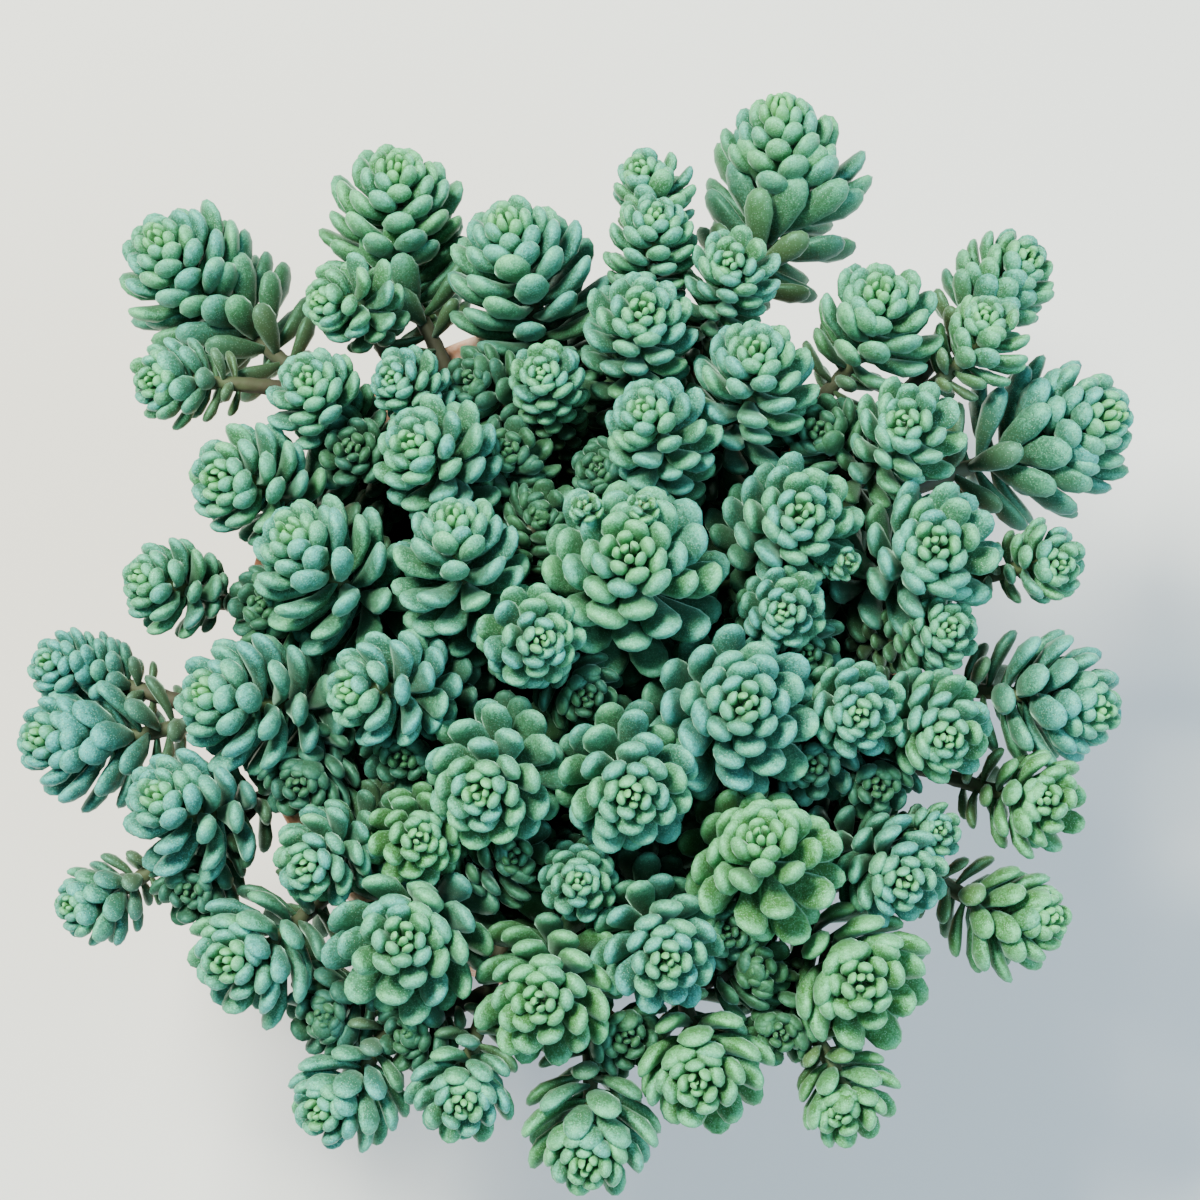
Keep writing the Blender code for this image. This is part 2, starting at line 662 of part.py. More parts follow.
def add_leafy_stem(name, members, group, loose):
    """One leafy stem, with any rosettes that branch from it, fused into one solid."""
    meshes = [mesh for rosette in members for mesh in rosette_meshes(rosette)]
    tone = members[0]["tone"]
    meshes[0].materials.append(material(name + "_leaf", leaf_colour(tone), 0.6))
    stem = new_object(name, meshes[0], group)
    pieces = [new_object("loose_leaf", mesh, loose) for mesh in meshes[1:]]
    union = stem.modifiers.new("fused", "BOOLEAN")
    union.operation = "UNION"
    union.operand_type = "COLLECTION"
    union.collection = loose
    fused = evaluated_mesh(stem)
    stem.modifiers.clear()
    stem.data = fused
    for piece in pieces:
        bpy.data.objects.remove(piece)
    for mesh in meshes:
        bpy.data.meshes.remove(mesh)


def leaf_colour(tone):
    """Grey blue-green, more yellow as the tone rises."""
    return (0.30 - 0.03 * tone, 0.52 + 0.03 * tone, 0.44 - 0.12 * tone)


def main():
    clear_scene()
    group = collection(NAME)
    cutters = collection("cutters", hidden=True)
    loose = collection("loose_leaves", hidden=True)
    rosettes = laid_out()
    roots = [rosette for rosette in rosettes.values() if rosette["name"] not in BRANCHES]
    add_pot(group)
    add_soil(group, cutters, roots)
    for root in roots:
        branches = [each for each in rosettes.values() if BRANCHES.get(each["name"]) == root["name"]]
        add_leafy_stem("leafy_stem_" + root["name"], [root] + branches, group, loose)


main()
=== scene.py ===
"""A cushion of stonecrop in a small clay pot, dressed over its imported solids.

Each leafy stem is one piece: a stem and its plump leaves. The pot and the soil are one piece each.
Sizes in the constants and tables are millimetres unless they say otherwise.
"""

import math

import bpy
import numpy as np
from mathutils import Matrix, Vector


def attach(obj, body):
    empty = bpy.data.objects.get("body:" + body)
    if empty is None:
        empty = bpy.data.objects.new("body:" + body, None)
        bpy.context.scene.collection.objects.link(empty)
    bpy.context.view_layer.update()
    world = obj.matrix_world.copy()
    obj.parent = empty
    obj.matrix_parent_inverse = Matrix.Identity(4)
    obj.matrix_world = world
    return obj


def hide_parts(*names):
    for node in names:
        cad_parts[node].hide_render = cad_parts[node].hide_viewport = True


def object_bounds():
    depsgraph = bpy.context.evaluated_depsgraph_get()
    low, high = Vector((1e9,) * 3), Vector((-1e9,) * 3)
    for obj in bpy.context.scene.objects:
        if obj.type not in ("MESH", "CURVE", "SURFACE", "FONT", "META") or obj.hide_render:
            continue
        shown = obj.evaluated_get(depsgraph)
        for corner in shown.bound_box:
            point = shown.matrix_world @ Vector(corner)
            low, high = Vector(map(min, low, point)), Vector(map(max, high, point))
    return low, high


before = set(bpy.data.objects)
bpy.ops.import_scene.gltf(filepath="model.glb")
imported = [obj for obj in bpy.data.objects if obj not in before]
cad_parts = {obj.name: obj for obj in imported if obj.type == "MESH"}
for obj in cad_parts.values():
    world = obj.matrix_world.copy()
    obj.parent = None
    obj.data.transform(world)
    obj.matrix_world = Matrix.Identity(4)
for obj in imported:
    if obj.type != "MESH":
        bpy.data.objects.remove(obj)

CAD_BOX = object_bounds()
MM = 0.001

# Pot. The rim band grows narrower downwards by RIM_TAPER, and the side below it starts RIM_STEP inside
# the lip. The roundings are of the profile's corners, from the lip's outer edge round to its inner one.
# SKIN_DEPTH is how far the skin lies inside the profile, so that its unevenness has room.
POT_HEIGHT = 62.0
RIM_RADIUS = 36.0
RIM_HEIGHT = 13.0
RIM_STEP = 2.0
RIM_TAPER = 0.7
BASE_RADIUS = 25.0
WALL = 3.8
FLOOR = 5.0
DRAIN_RADIUS = 5.0
ROUNDINGS = (1.5, 0.9, 0.5, 1.2, 0.6, 0.6, 2.0, 1.5)
PROFILE_STEP = 1.2
POT_SIDES = 144
SKIN_DEPTH = 0.18

# Soil. The gap is the one round it, from which its skin lies a little further in, and the one below each
# stem in its hole.
SOIL_LEVEL = 58.5
SOIL_LUMPS = 0.7
LUMP_SIZES = (5.0, 2.2)
SOIL_SIDES = 120
SOIL_RINGS = 44
CRUMBS = 1200
CRUMB_SIZES = (0.2, 0.8)
CRUMB_SIDES = 5
SEAT_GAP = 0.3
SOIL_INSET = 0.3
HOLE_DEPTH = 3.5

# Sheet that the rosettes were laid out on, and the dome under it. The dome falls with the square of the
# distance from the axis, from DOME_TOP to DOME_EDGE at DOME_REACH, and on to MOST_SHARE of that.
SIGHT_ELEVATION = math.radians(78.0)
SIGHT_DISTANCE = 450.0
SHEET_CENTRE = np.array((-0.6, -4.6, 82.0))
SHEET_AIM = (2.5, 5.1)
DOME_TOP = 90.0
DOME_EDGE = 72.0
DOME_REACH = 57.0
MOST_SHARE = 1.06

# Stems: the radius, or for a small rosette a share of its reach, the hole's distance out as a share of
# the foot's, and the most of that
STEM_RADIUS = 0.9
THIN_STEM = 0.24
STEM_SPREAD = 0.62
STEM_REACH = 28.0

# A stem whose foot lies CROSSES_FROM beyond the rim crosses it: how far inside the rim it rises, how far
# outside it falls, and how high above it both are. The others are curves, pulled up from the hole and
# down from the foot by shares of their height.
CROSSES_FROM = 5.0
RISE_INSIDE = 5.2
FALL_OUTSIDE = 2.0
OVER_RIM = (2.6, 3.4)
ROOT_PULL = 0.45
FOOT_PULL = 0.3
BRANCH_LIFT = 1.0
STEM_SIDES = 8
LINE_STEP = 0.8

# Painted shade: the depths below the dome between which leaves and stems are painted darker, and how dark
# a whole shoot is painted whose bud lies deeper below the dome than the last number
PAINTED_SHADE_DEPTHS = (4.5, 14.0)
LOW_SHOOT_PAINTED_SHADE = 1.15
LOW_SHOOT_SHADE_DEPTH = 5.5

# Rosettes: the sine of the most that a stem leans away from the eye and what holds it below that, the
# share of it that the tip leans, for a usual rosette and for one that lies flat, how far down in lengths
# the bend below the tip is, the least length in reaches, where the foot is in lengths, the radians that
# the first leaf turns from one rosette to the next, and the stem's hidden stretch in reaches
MOST_LEAN = 0.79
LEAN_REST = 0.25
TIP_LEAN = (0.80, 1.06)
TIP_STRETCH = 0.5
LEAST_LENGTH = 1.1
FOOT_SHARE = 0.94
TURN_STEP = 2.4
GOLDEN_ANGLE = math.radians(137.508)
HIDDEN_STEM = 0.4

# Young leaves, with lengths in reaches: how many there are and how many more for each millimetre of
# reach, how small a tiny rosette is and how many it has, the first and last tips' distances from the
# axis, the depth of a tip at the full reach and the power it grows by, for a usual rosette and for one
# that lies flat, how many more the latter has, and the rise from root to tip at the bud and its gain
YOUNG_LEAVES = (12, 2.7)
TINY_REACH = 2.5
TINY_LEAVES = 8
SHARES = (0.0, 0.98)
TIP_DEPTH = (0.68, 1.08)
TIP_POWER = (1.9, 1.4)
MORE_YOUNG = 0.35
RISE = (0.28, 0.46)

# Older leaves, with lengths in reaches: the step down the stem and what it gains by the last, how many
# leaves it takes to spread out, how far that is and what they lose of their rise and width in it, how far
# below the rosette they start to shrink and over how much of the stem, within the pot or across the rim,
# where it is bare after that, what they lose of their distance out, rise and width in it, and how many
# millimetres above the stem's end they stop
OLD_STEP = 0.040
OLD_STEP_GAIN = 1.4
SPREADING = 10.0
OLD_REACH = 1.13
OLD_RISE = 0.40
OLD_WIDTH = 0.06
OLD_FROM = 0.35
OLD_FADE = (3.0, 0.9)
OLD_LOSS = (0.36, 0.7, 0.3)
BARE_STEM = 4.0

# Leaf width of a rosette whose reach is the second number and the power of the reach it grows by, the
# age over which widths grow, the age up to which they are alike, thickness in widths at the bud and at
# full age, and how unevenly leaves rise, reach out, grow wide and turn
LEAF_WIDTH = (3.3, 6.0)
REACH_POWER = 0.65
WIDENING = 0.32
ALIKE_UNTIL = 0.09
THICKNESS = (0.74, 0.52)
UNEVEN = (0.06, 0.03, 0.05, 0.06)

# Leaf surface: shares of its length at which its rings lie, corners round it, the share at which it
# is widest, the powers of its outline on the root's side and the tip's, the sag of a young leaf and of
# an old one, and the share of the thickness on the upper side
RINGS = np.array((0.05, 0.38, 0.70, 0.87, 0.96))
CORNERS = 10
WIDEST = 0.70
OUTLINE_POWERS = (0.5, 2.0)
BOWS = (0.12, 0.05)
UPPER_SHARE = 0.46

# Ellipsoids that a leaf and its outer part fill: half axes as shares of the length, width and thickness,
# how far along their middles are and how far the first sinks, in lengths, how far leaves keep from the
# soil and the rim, and how much age a millimetre of their bud's height makes up for
FILL = np.array((0.40, 0.35, 0.36))
END_FILL = np.array((0.24, 0.40, 0.42))
MIDDLE = 0.56
END_MIDDLE = 0.74
SUNK = 0.06
OFF_SOIL = 1.2
OFF_RIM = 1.0
HIGH_FIRST = 0.02

# Bud x, y and foot x, y of each rosette on the sheet, its reach, how far it lies below the dome, and
# its tone from blue (-1) to green (1)
ROSETTES = [
    (1, -42.3, 41.9, -34.0, 32.6, 7.5, 0.0, 0.1),
    (2, -42.8, 27.1, -39.8, 27.0, 4.8, 2.0, 0.1),
    (3, -17.8, 49.3, -18.0, 36.6, 7.3, 0.0, 0.4),
    (4, -26.0, 35.1, -21.0, 35.1, 4.8, 2.0, 0.2),
    (5, -7.3, 43.9, -4.0, 34.1, 8.0, 0.0, 0.0),
    (6, -3.5, 27.9, -2.7, 27.6, 3.9, 3.0, 0.1),
    (7, 6.2, 48.6, 8.5, 46.1, 4.5, 2.0, 0.2),
    (8, 8.2, 44.1, 7.7, 40.6, 4.7, 0.5, 0.1),
    (9, 15.3, 38.9, 16.5, 38.3, 4.7, 1.0, 0.1),
    (10, 20.4, 55.6, 21.4, 43.0, 8.4, 0.0, 0.2),
    (11, 6.8, 34.3, 6.5, 32.6, 5.8, 0.0, 0.1),
    (12, 18.1, 30.6, 18.3, 26.6, 6.4, 0.0, 0.0),
    (13, 30.7, 36.4, 30.3, 31.6, 6.9, 0.0, 0.3),
    (14, 45.8, 39.9, 41.0, 35.1, 5.5, 2.0, 0.2),
    (15, 41.0, 33.9, 41.5, 30.6, 5.0, 0.0, 0.3),
    (16, 54.5, 24.0, 44.3, 20.2, 8.2, 0.0, -0.2),
    (17, 32.8, 23.1, 34.0, 21.9, 5.8, 0.0, 0.2),
    (18, 6.5, 24.6, 9.0, 21.6, 5.7, 1.0, 0.0),
    (19, 22.7, 13.9, 22.0, 13.1, 6.8, 2.0, 0.0),
    (20, 36.2, 10.8, 36.2, 9.6, 7.5, 0.0, 0.0),
    (21, 48.7, 8.6, 47.0, 9.1, 4.5, 0.0, 0.2),
    (22, -27.0, 27.6, -25.7, 25.1, 5.2, 1.0, 0.1),
    (23, -18.7, 27.3, -16.5, 27.1, 3.8, 3.0, -0.1),
    (24, -16.7, 21.1, -13.5, 19.6, 6.2, 1.0, 0.0),
    (25, -36.3, 17.6, -32.0, 17.1, 6.3, 0.0, 0.1),
    (26, -29.2, 12.4, -23.0, 6.1, 7.3, 0.0, -0.1),
    (27, -12.3, 14.1, -11.5, 6.6, 6.5, 0.0, -0.1),
    (28, 5.3, 10.1, 5.7, 7.6, 9.6, -1.0, 0.1),
    (29, -44.2, 7.6, -39.0, 6.1, 5.0, 3.0, 0.1),
    (30, -3.3, 1.1, -4.7, 1.6, 5.2, 0.0, 0.0),
    (31, 20.8, 3.9, 21.2, 4.3, 4.3, 4.0, 0.0),
    (32, 17.0, -5.1, 16.0, -6.1, 8.7, 0.0, -0.3),
    (33, 28.5, -6.4, 28.2, -5.9, 5.0, 1.0, 0.0),
    (34, 37.5, 2.3, 37.0, 1.9, 3.9, 4.0, 0.1),
    (35, 37.3, -8.9, 36.8, -7.4, 5.6, 0.0, 0.2),
    (36, 53.3, -6.1, 46.0, -4.4, 7.1, 0.0, -0.1),
    (37, 47.2, -14.7, 46.5, -15.4, 5.7, 0.0, 0.8),
    (38, 48.2, -26.7, 42.5, -27.4, 6.0, 2.0, 0.8),
    (39, -38.0, -3.9, -31.0, -5.7, 7.3, 1.0, -0.3),
    (40, -23.5, -3.9, -18.0, -3.9, 5.9, 0.0, -0.1),
    (41, -53.5, -0.9, -47.0, -2.9, 4.2, 2.0, -0.6),
    (42, -54.7, -8.4, -46.6, -9.4, 6.9, 0.0, -0.6),
    (43, -42.5, -13.9, -37.5, -17.1, 7.0, 0.0, -0.3),
    (44, -51.0, -25.4, -47.0, -25.4, 4.6, 3.0, -0.2),
    (45, -27.3, -21.7, -25.0, -20.4, 5.1, 1.0, 0.0),
    (46, -15.5, -18.7, -16.3, -18.7, 5.0, 4.0, 0.7),
    (47, -9.7, -14.4, -8.0, -12.4, 7.1, 0.0, 0.1),
    (48, 5.8, -14.7, 5.3, -12.9, 7.2, 0.0, 0.0),
    (49, 18.5, -18.1, 19.5, -22.4, 7.6, 0.0, 1.0),
    (50, 33.2, -23.2, 32.2, -21.9, 5.8, 2.0, -0.1),
    (51, 36.5, -17.9, 36.0, -18.1, 3.3, 5.0, 0.1),
    (52, 0.5, -22.9, 0.2, -23.5, 3.8, 5.0, 0.0),
    (53, 9.3, -31.1, 8.3, -29.9, 6.6, 0.0, -0.1),
    (54, 28.8, -33.1, 28.1, -32.9, 8.3, 0.0, 1.0),
    (55, -17.2, -28.7, -17.0, -29.4, 8.1, 0.0, 0.1),
    (56, -35.3, -31.1, -31.3, -30.4, 7.1, 0.0, 0.0),
    (57, -3.8, -35.2, -2.5, -34.7, 7.4, 0.0, 0.6),
    (58, -26.2, -46.4, -22.0, -44.4, 6.1, 0.0, -0.1),
    (59, -11.2, -45.6, -11.5, -43.9, 5.8, 0.0, 0.1),
    (60, 12.2, -43.4, 13.0, -41.4, 7.3, 0.0, 0.7),
    (61, 1.0, -51.9, 1.7, -47.4, 7.0, 0.0, 0.3),
    (62, 26.3, -46.2, 28.0, -44.9, 5.4, 1.0, 0.9),
    (63, 27.3, 9.1, 26.9, 9.0, 2.0, 5.0, 0.2),
    (64, 0.8, 14.8, 1.2, 14.2, 1.7, -0.5, 0.3),
    (65, 6.8, 14.9, 6.6, 14.3, 1.8, -0.5, 0.3),
    (66, -6.8, 20.3, -6.0, 19.5, 4.8, 9.0, 0.3),
    (67, -3.6, 13.6, -3.0, 14.4, 4.2, 10.0, 0.2),
    (68, 1.2, -4.6, 0.6, -4.0, 4.4, 9.0, 0.0),
    (69, -17.4, -10.8, -16.4, -10.2, 5.2, 7.5, -0.2),
    (70, -6.2, -20.6, -5.4, -20.0, 4.8, 8.5, 0.2),
    (71, 23.6, -11.6, 24.4, -11.0, 5.2, 8.0, -0.2),
    (72, -10.6, 27.2, -9.8, 26.6, 4.6, 8.5, 0.1),
    (73, 30.4, -13.6, 30.0, -12.8, 4.8, 8.0, 0.1),
    (74, -31.5, 4.8, -30.6, 4.2, 5.4, 8.0, 0.0),
    (75, -27.8, -13.4, -27.0, -13.0, 5.2, 7.5, -0.1),
    (76, 2.2, 18.4, 2.8, 18.0, 3.8, 9.0, 0.0),
    (77, 23.2, -0.4, 23.6, 0.2, 4.0, 9.0, 0.0),
    (78, 24.4, 22.2, 24.8, 21.6, 4.8, 8.0, 0.1),
    (79, 15.2, -28.2, 14.6, -27.6, 4.8, 7.5, 0.2),
    (80, -22.4, 20.4, -22.0, 19.8, 5.2, 7.5, 0.0),
    (81, -25.3, -36.6, -24.6, -36.0, 5.4, 6.5, -0.1),
    (82, -16.8, -38.4, -16.4, -37.8, 5.0, 6.5, 0.1),
    (83, 5.2, -38.6, 5.0, -38.0, 5.2, 6.5, 0.3),
    (84, 18.4, -32.0, 18.0, -31.4, 5.0, 7.0, 0.6),
    (85, 20.6, -38.4, 20.0, -37.6, 5.0, 6.5, 0.7),
    (86, -38.6, -24.2, -38.0, -23.8, 5.0, 6.0, -0.2),
]

# Rosettes that branch from another's stem
BRANCHES = {
    2: 1, 7: 8, 14: 15, 41: 42, 44: 43, 51: 50, 63: 19, 64: 28,
    65: 28, 66: 24, 67: 27, 68: 30, 69: 40, 70: 55, 71: 33, 72: 6,
    73: 35, 74: 26, 75: 39, 76: 18, 77: 31, 78: 17, 79: 53, 80: 22,
    81: 58, 82: 59, 83: 61, 84: 60, 85: 54, 86: 43,
}

# How far the tips of a few rosettes go from the usual, 0, to long ones that lie flat, 1
LYING = {1: 0.2, 3: 0.3, 5: 0.3, 10: 0.85, 16: 0.3, 42: 0.3}

# Degrees by which a stem's hole is turned round the pot from its foot's bearing
HOLE_TURNS = {9: 8, 10: -8}


def unit(vectors):
    """Vectors divided by their lengths."""
    vectors = np.asarray(vectors, float)
    return vectors / np.linalg.norm(vectors, axis=-1, keepdims=True)


def between(ends, share):
    """The value that share of the way from the first end to the second."""
    return ends[0] + (ends[1] - ends[0]) * share


def read_at(places, line, rows):
    """Rows of three numbers, one at each of the line's depths, read at places between those."""
    return np.stack([np.interp(places, line, rows[:, each]) for each in range(3)], axis=1)


def round_turn(count):
    """That many angles, evenly round from 0."""
    return np.arange(count) * 2 * math.pi / count


def polar(radius, turn, height):
    """Points at those radii, angles and heights round the axis."""
    x, y = radius * np.cos(turn), radius * np.sin(turn)
    return np.stack(np.broadcast_arrays(x, y, height), axis=-1)


RIGHT = np.array((1.0, 0.0, 0.0))
UP = np.array((0.0, math.sin(SIGHT_ELEVATION), math.cos(SIGHT_ELEVATION)))
SIGHT = np.array((0.0, -math.cos(SIGHT_ELEVATION), math.sin(SIGHT_ELEVATION)))
EYE = SHEET_CENTRE + SHEET_AIM[0] * RIGHT + SHEET_AIM[1] * UP + SIGHT_DISTANCE * SIGHT
OBLIQUE = RIGHT + 0.3 * UP


# Places of the rosettes and their stems


def dome_height(points):
    """The dome's height over or under points."""
    share = np.minimum(MOST_SHARE, np.hypot(points[..., 0], points[..., 1]) / DOME_REACH)
    return DOME_TOP - (DOME_TOP - DOME_EDGE) * share**2


def carried_down(x, y, below):
    """The point on the sight line through (x, y) of the sheet that lies that far below the dome."""
    ray = SHEET_CENTRE + x * RIGHT + y * UP - EYE
    height = DOME_TOP
    for _ in range(6):
        point = EYE + ray * (height - EYE[2]) / ray[2]
        height = dome_height(point) - below
    return point


def placed_rosette(row):
    """A rosette's bud, foot, directions and lengths. It leans by its foot's offset on the sheet."""
    number, bud_x, bud_y, foot_x, foot_y, reach, below, tone = row
    offset = np.array((bud_x - foot_x, bud_y - foot_y))
    shift = np.linalg.norm(offset)
    lean = min(MOST_LEAN, shift / (reach + LEAN_REST * shift))
    bud = carried_down(bud_x, bud_y, below)
    sight = unit(EYE - bud)
    across = unit(np.cross(UP, sight))
    upward = np.cross(sight, across)
    way = (across * offset[0] + upward * offset[1]) / shift
    axis = way * lean + sight * math.sqrt(1 - lean**2)
    lying = LYING.get(number, 0.0)
    lean_of_tip = between(TIP_LEAN, lying) * lean
    length = max(LEAST_LENGTH * reach, shift / lean)
    foot = bud - axis * length * FOOT_SHARE
    return {
        "number": number,
        "bud": bud,
        "axis": axis,
        "foot": foot,
        "crosses": np.linalg.norm(foot[:2]) > RIM_RADIUS + CROSSES_FROM,
        "tip_axis": way * lean_of_tip + sight * math.sqrt(1 - lean_of_tip**2),
        "side": unit(np.cross(axis, OBLIQUE)),
        "reach": reach,
        "lying": lying,
        "length": length,
        "tone": tone,
        # a shoot whose bud lies deep below the dome is painted dark all over, as shade
        "dim": LOW_SHOOT_PAINTED_SHADE if below > LOW_SHOOT_SHADE_DEPTH else 0.0,
        "turn": number * TURN_STEP,
    }


def stem_path(rosette, parent):
    """Points up the middle of a stem, from its hole in the soil, or from its parent stem, to the foot.
    Within the pot the middle one is halfway along a cubic curve."""
    foot = rosette["foot"]
    if parent is not None:
        start = parent["path"][-2]
        return [start, (start + foot) / 2 + (0, 0, BRANCH_LIFT), foot]
    distance = min(STEM_REACH, STEM_SPREAD * np.linalg.norm(foot[:2]))
    bearing = math.atan2(foot[1], foot[0]) + math.radians(HOLE_TURNS.get(rosette["number"], 0))
    low = SOIL_LEVEL - HOLE_DEPTH + SEAT_GAP
    start = np.array((distance * math.cos(bearing), distance * math.sin(bearing), low))
    if rosette["crosses"]:
        way = unit((foot[0], foot[1], 0.0))
        rise = way * (RIM_RADIUS - RISE_INSIDE) + (0, 0, POT_HEIGHT + OVER_RIM[0])
        across = way * (RIM_RADIUS + FALL_OUTSIDE) + (0, 0, POT_HEIGHT + OVER_RIM[1])
        return [start, rise, across, foot]
    height = foot[2] - start[2]
    first = start + (0, 0, ROOT_PULL * height)
    second = foot - rosette["axis"] * FOOT_PULL * height
    return [start, (start + 3 * first + 3 * second + foot) / 8, foot]


def corners_cut(points, times):
    """The line with each inner corner cut at a quarter of the stretches beside it, several times over."""
    for _ in range(times):
        low = 0.75 * points[:-1] + 0.25 * points[1:]
        high = 0.25 * points[:-1] + 0.75 * points[1:]
        inner = np.stack([low, high], axis=1).reshape(-1, 3)[1:-1]
        points = np.vstack([points[:1], inner, points[-1:]])
    return points


def stem_line(rosette):
    """Evenly spaced points down a stem from its bud, the way it climbs at each, and how deep each lies."""
    bend = rosette["bud"] - rosette["tip_axis"] * TIP_STRETCH * rosette["length"]
    points = corners_cut(np.array([rosette["bud"], bend] + rosette["path"][::-1]), 3)
    depth = np.concatenate([[0], np.cumsum(np.linalg.norm(np.diff(points, axis=0), axis=1))])
    even = np.linspace(0, depth[-1], max(8, int(depth[-1] / LINE_STEP)))
    points = read_at(even, depth, points)
    return points, unit(-np.gradient(points, axis=0)), even


# Leaves as rows of numbers


def leaf_columns(rosette, dice):
    """Depth of the root, rise to the tip, distance out, width, thickness, angle and age of each leaf.

    Young leaves: the distance out grows evenly with the leaf's number, the tip lies deeper by a power
    of it, and the leaf rises less and less steeply. Older ones keep the last distance, droop, shrink
    and lie further and further apart down the stem. Age is the share of the way out, then above 1.
    """
    reach, line_depth = rosette["reach"], rosette["line"][2][-1]
    lying, crosses = rosette["lying"], rosette["crosses"]
    count = TINY_LEAVES if reach < TINY_REACH else int(YOUNG_LEAVES[0] + YOUNG_LEAVES[1] * reach)
    count = int(count * (1 + MORE_YOUNG * lying))
    share = between(SHARES, np.arange(count) / (count - 1))
    rise = reach * (RISE[0] + RISE[1] * np.sqrt(share))
    root = reach * between(TIP_DEPTH, lying) * share ** between(TIP_POWER, lying) + rise
    fade = OLD_FADE[int(crosses)] * reach
    first, last = rosette["length"] + OLD_FROM * reach, line_depth - BARE_STEM
    last = min(last, first + fade) if crosses else last
    older, late = [root[-1]], [0.0]
    while older[-1] < last:
        late.append(float(np.clip((older[-1] - first) / fade, 0, 1)))
        older.append(older[-1] + reach * OLD_STEP * (1 + OLD_STEP_GAIN * late[-1]))
    older, late = np.array(older[1:]), np.array(late[1:])
    spread = 1 - np.exp(-np.arange(1, len(older) + 1) / SPREADING)
    further = between((SHARES[1], OLD_REACH), spread) * (1 - OLD_LOSS[0] * late)
    out = np.concatenate([share, further]) * reach
    rise = np.concatenate([rise, rise[-1] * (1 - OLD_RISE * spread) * (1 - OLD_LOSS[1] * late)])
    root = np.concatenate([root, older])
    age = np.concatenate([share, 1 + late])
    narrower = np.concatenate([0 * share, OLD_WIDTH * spread + OLD_LOSS[2] * late])
    widest = LEAF_WIDTH[0] * (reach / LEAF_WIDTH[1]) ** REACH_POWER
    width = widest * (1 - np.exp(-np.maximum(age, ALIKE_UNTIL) / WIDENING)) * (1 - narrower)
    everyone = len(age)
    return {
        "root": root,
        "rise": rise * dice.normal(1, UNEVEN[0], everyone),
        "out": out * dice.normal(1, UNEVEN[1], everyone),
        "width": width * dice.normal(1, UNEVEN[2], everyone),
        "thick": width * between(THICKNESS, np.minimum(age, 1)),
        "bow": between(BOWS, np.concatenate([0 * share, spread])),
        "angle": np.arange(everyone) * GOLDEN_ANGLE + rosette["turn"] + dice.normal(0, UNEVEN[3], everyone),
        "age": age,
        "chance": dice.random(everyone),
    }


def leaves_of(rosette, dice):
    """Each leaf's root on the stem's line, its directions along it, to its upper side, which faces the
    bud, and to its right side, its sizes and its tone."""
    columns = leaf_columns(rosette, dice)
    points, climbs, depth = rosette["line"]
    root = read_at(columns["root"], depth, points)
    climb = unit(read_at(columns["root"], depth, climbs))
    side = unit(rosette["side"] - climb * (climb @ rosette["side"])[:, None])
    other = np.cross(climb, side)
    angle = columns["angle"][:, None]
    outward = np.cos(angle) * side + np.sin(angle) * other
    chord = climb * columns["rise"][:, None] + outward * columns["out"][:, None]
    along = unit(chord)
    upper = unit(climb - along * np.sum(climb * along, axis=1)[:, None])
    leaves = {name: columns[name] for name in ("width", "thick", "bow", "age", "chance")}
    leaves.update({name: np.full(len(root), rosette[name]) for name in ("tone", "dim")})
    leaves.update(root=root, climb=climb, along=along, upper=upper, side=np.cross(upper, along))
    return dict(leaves, length=np.linalg.norm(chord, axis=1))


# Room for the leaves among their neighbours

# Points spread over a ball of radius 1
BALL = np.array([
    (math.cos(turn) * math.cos(tilt), math.sin(turn) * math.cos(tilt), math.sin(tilt))
    for tilt in (-1.2, -0.7, -0.2, 0.3, 0.8, 1.3)
    for turn in np.linspace(0, 2 * math.pi, 9)[:-1]
])


class Crowd:
    """Ellipsoids that leaves already fill, each with the number of the rosette that owns it."""

    def __init__(self, room):
        self.count = 0
        self.middles = np.zeros((room, 3))
        self.shells = np.zeros((room, len(BALL), 3))
        self.inverses = np.zeros((room, 3, 3))
        self.spans = np.zeros(room)
        self.owners = np.zeros(room, int)

    def add(self, middle, halves, owner):
        here = self.count
        self.middles[here] = middle
        self.shells[here] = middle + BALL @ halves
        self.inverses[here] = np.linalg.inv(halves)
        self.spans[here] = np.linalg.norm(halves, axis=1).max()
        self.owners[here] = owner
        self.count += 1

    def blocks(self, middle, halves, owner, own=False):
        """Whether the ellipsoid meets one of another rosette, or of its own where that is asked: a point
        of either shell lies in the other."""
        count = self.count
        apart = np.linalg.norm(self.middles[:count] - middle, axis=1)
        near = apart < self.spans[:count] + np.linalg.norm(halves, axis=1).max()
        near = np.flatnonzero(near & ((self.owners[:count] == owner) == own))
        if not len(near):
            return False
        theirs = (self.shells[near] - middle) @ np.linalg.inv(halves)
        ours = (middle + BALL @ halves - self.middles[near][:, None]) @ self.inverses[near]
        return bool((theirs**2).sum(axis=2).min() < 1 or (ours**2).sum(axis=2).min() < 1)


def half_axes(leaf, shares):
    """The three half axes, in rows, of an ellipsoid with those shares of a leaf's sizes."""
    axes = np.array([leaf["along"], leaf["side"], leaf["upper"]])
    return axes * (np.array([leaf["length"], leaf["width"], leaf["thick"]]) * shares)[:, None]


def filled(leaf):
    """The middle and the half axes of the ellipsoid that a leaf fills."""
    middle = leaf["root"] + leaf["length"] * (MIDDLE * leaf["along"] - SUNK * leaf["upper"])
    return middle, half_axes(leaf, FILL)


def outer_part(leaf):
    """The middle and the half axes of the ellipsoid in a leaf's outer half."""
    return leaf["root"] + leaf["length"] * END_MIDDLE * leaf["along"], half_axes(leaf, END_FILL)


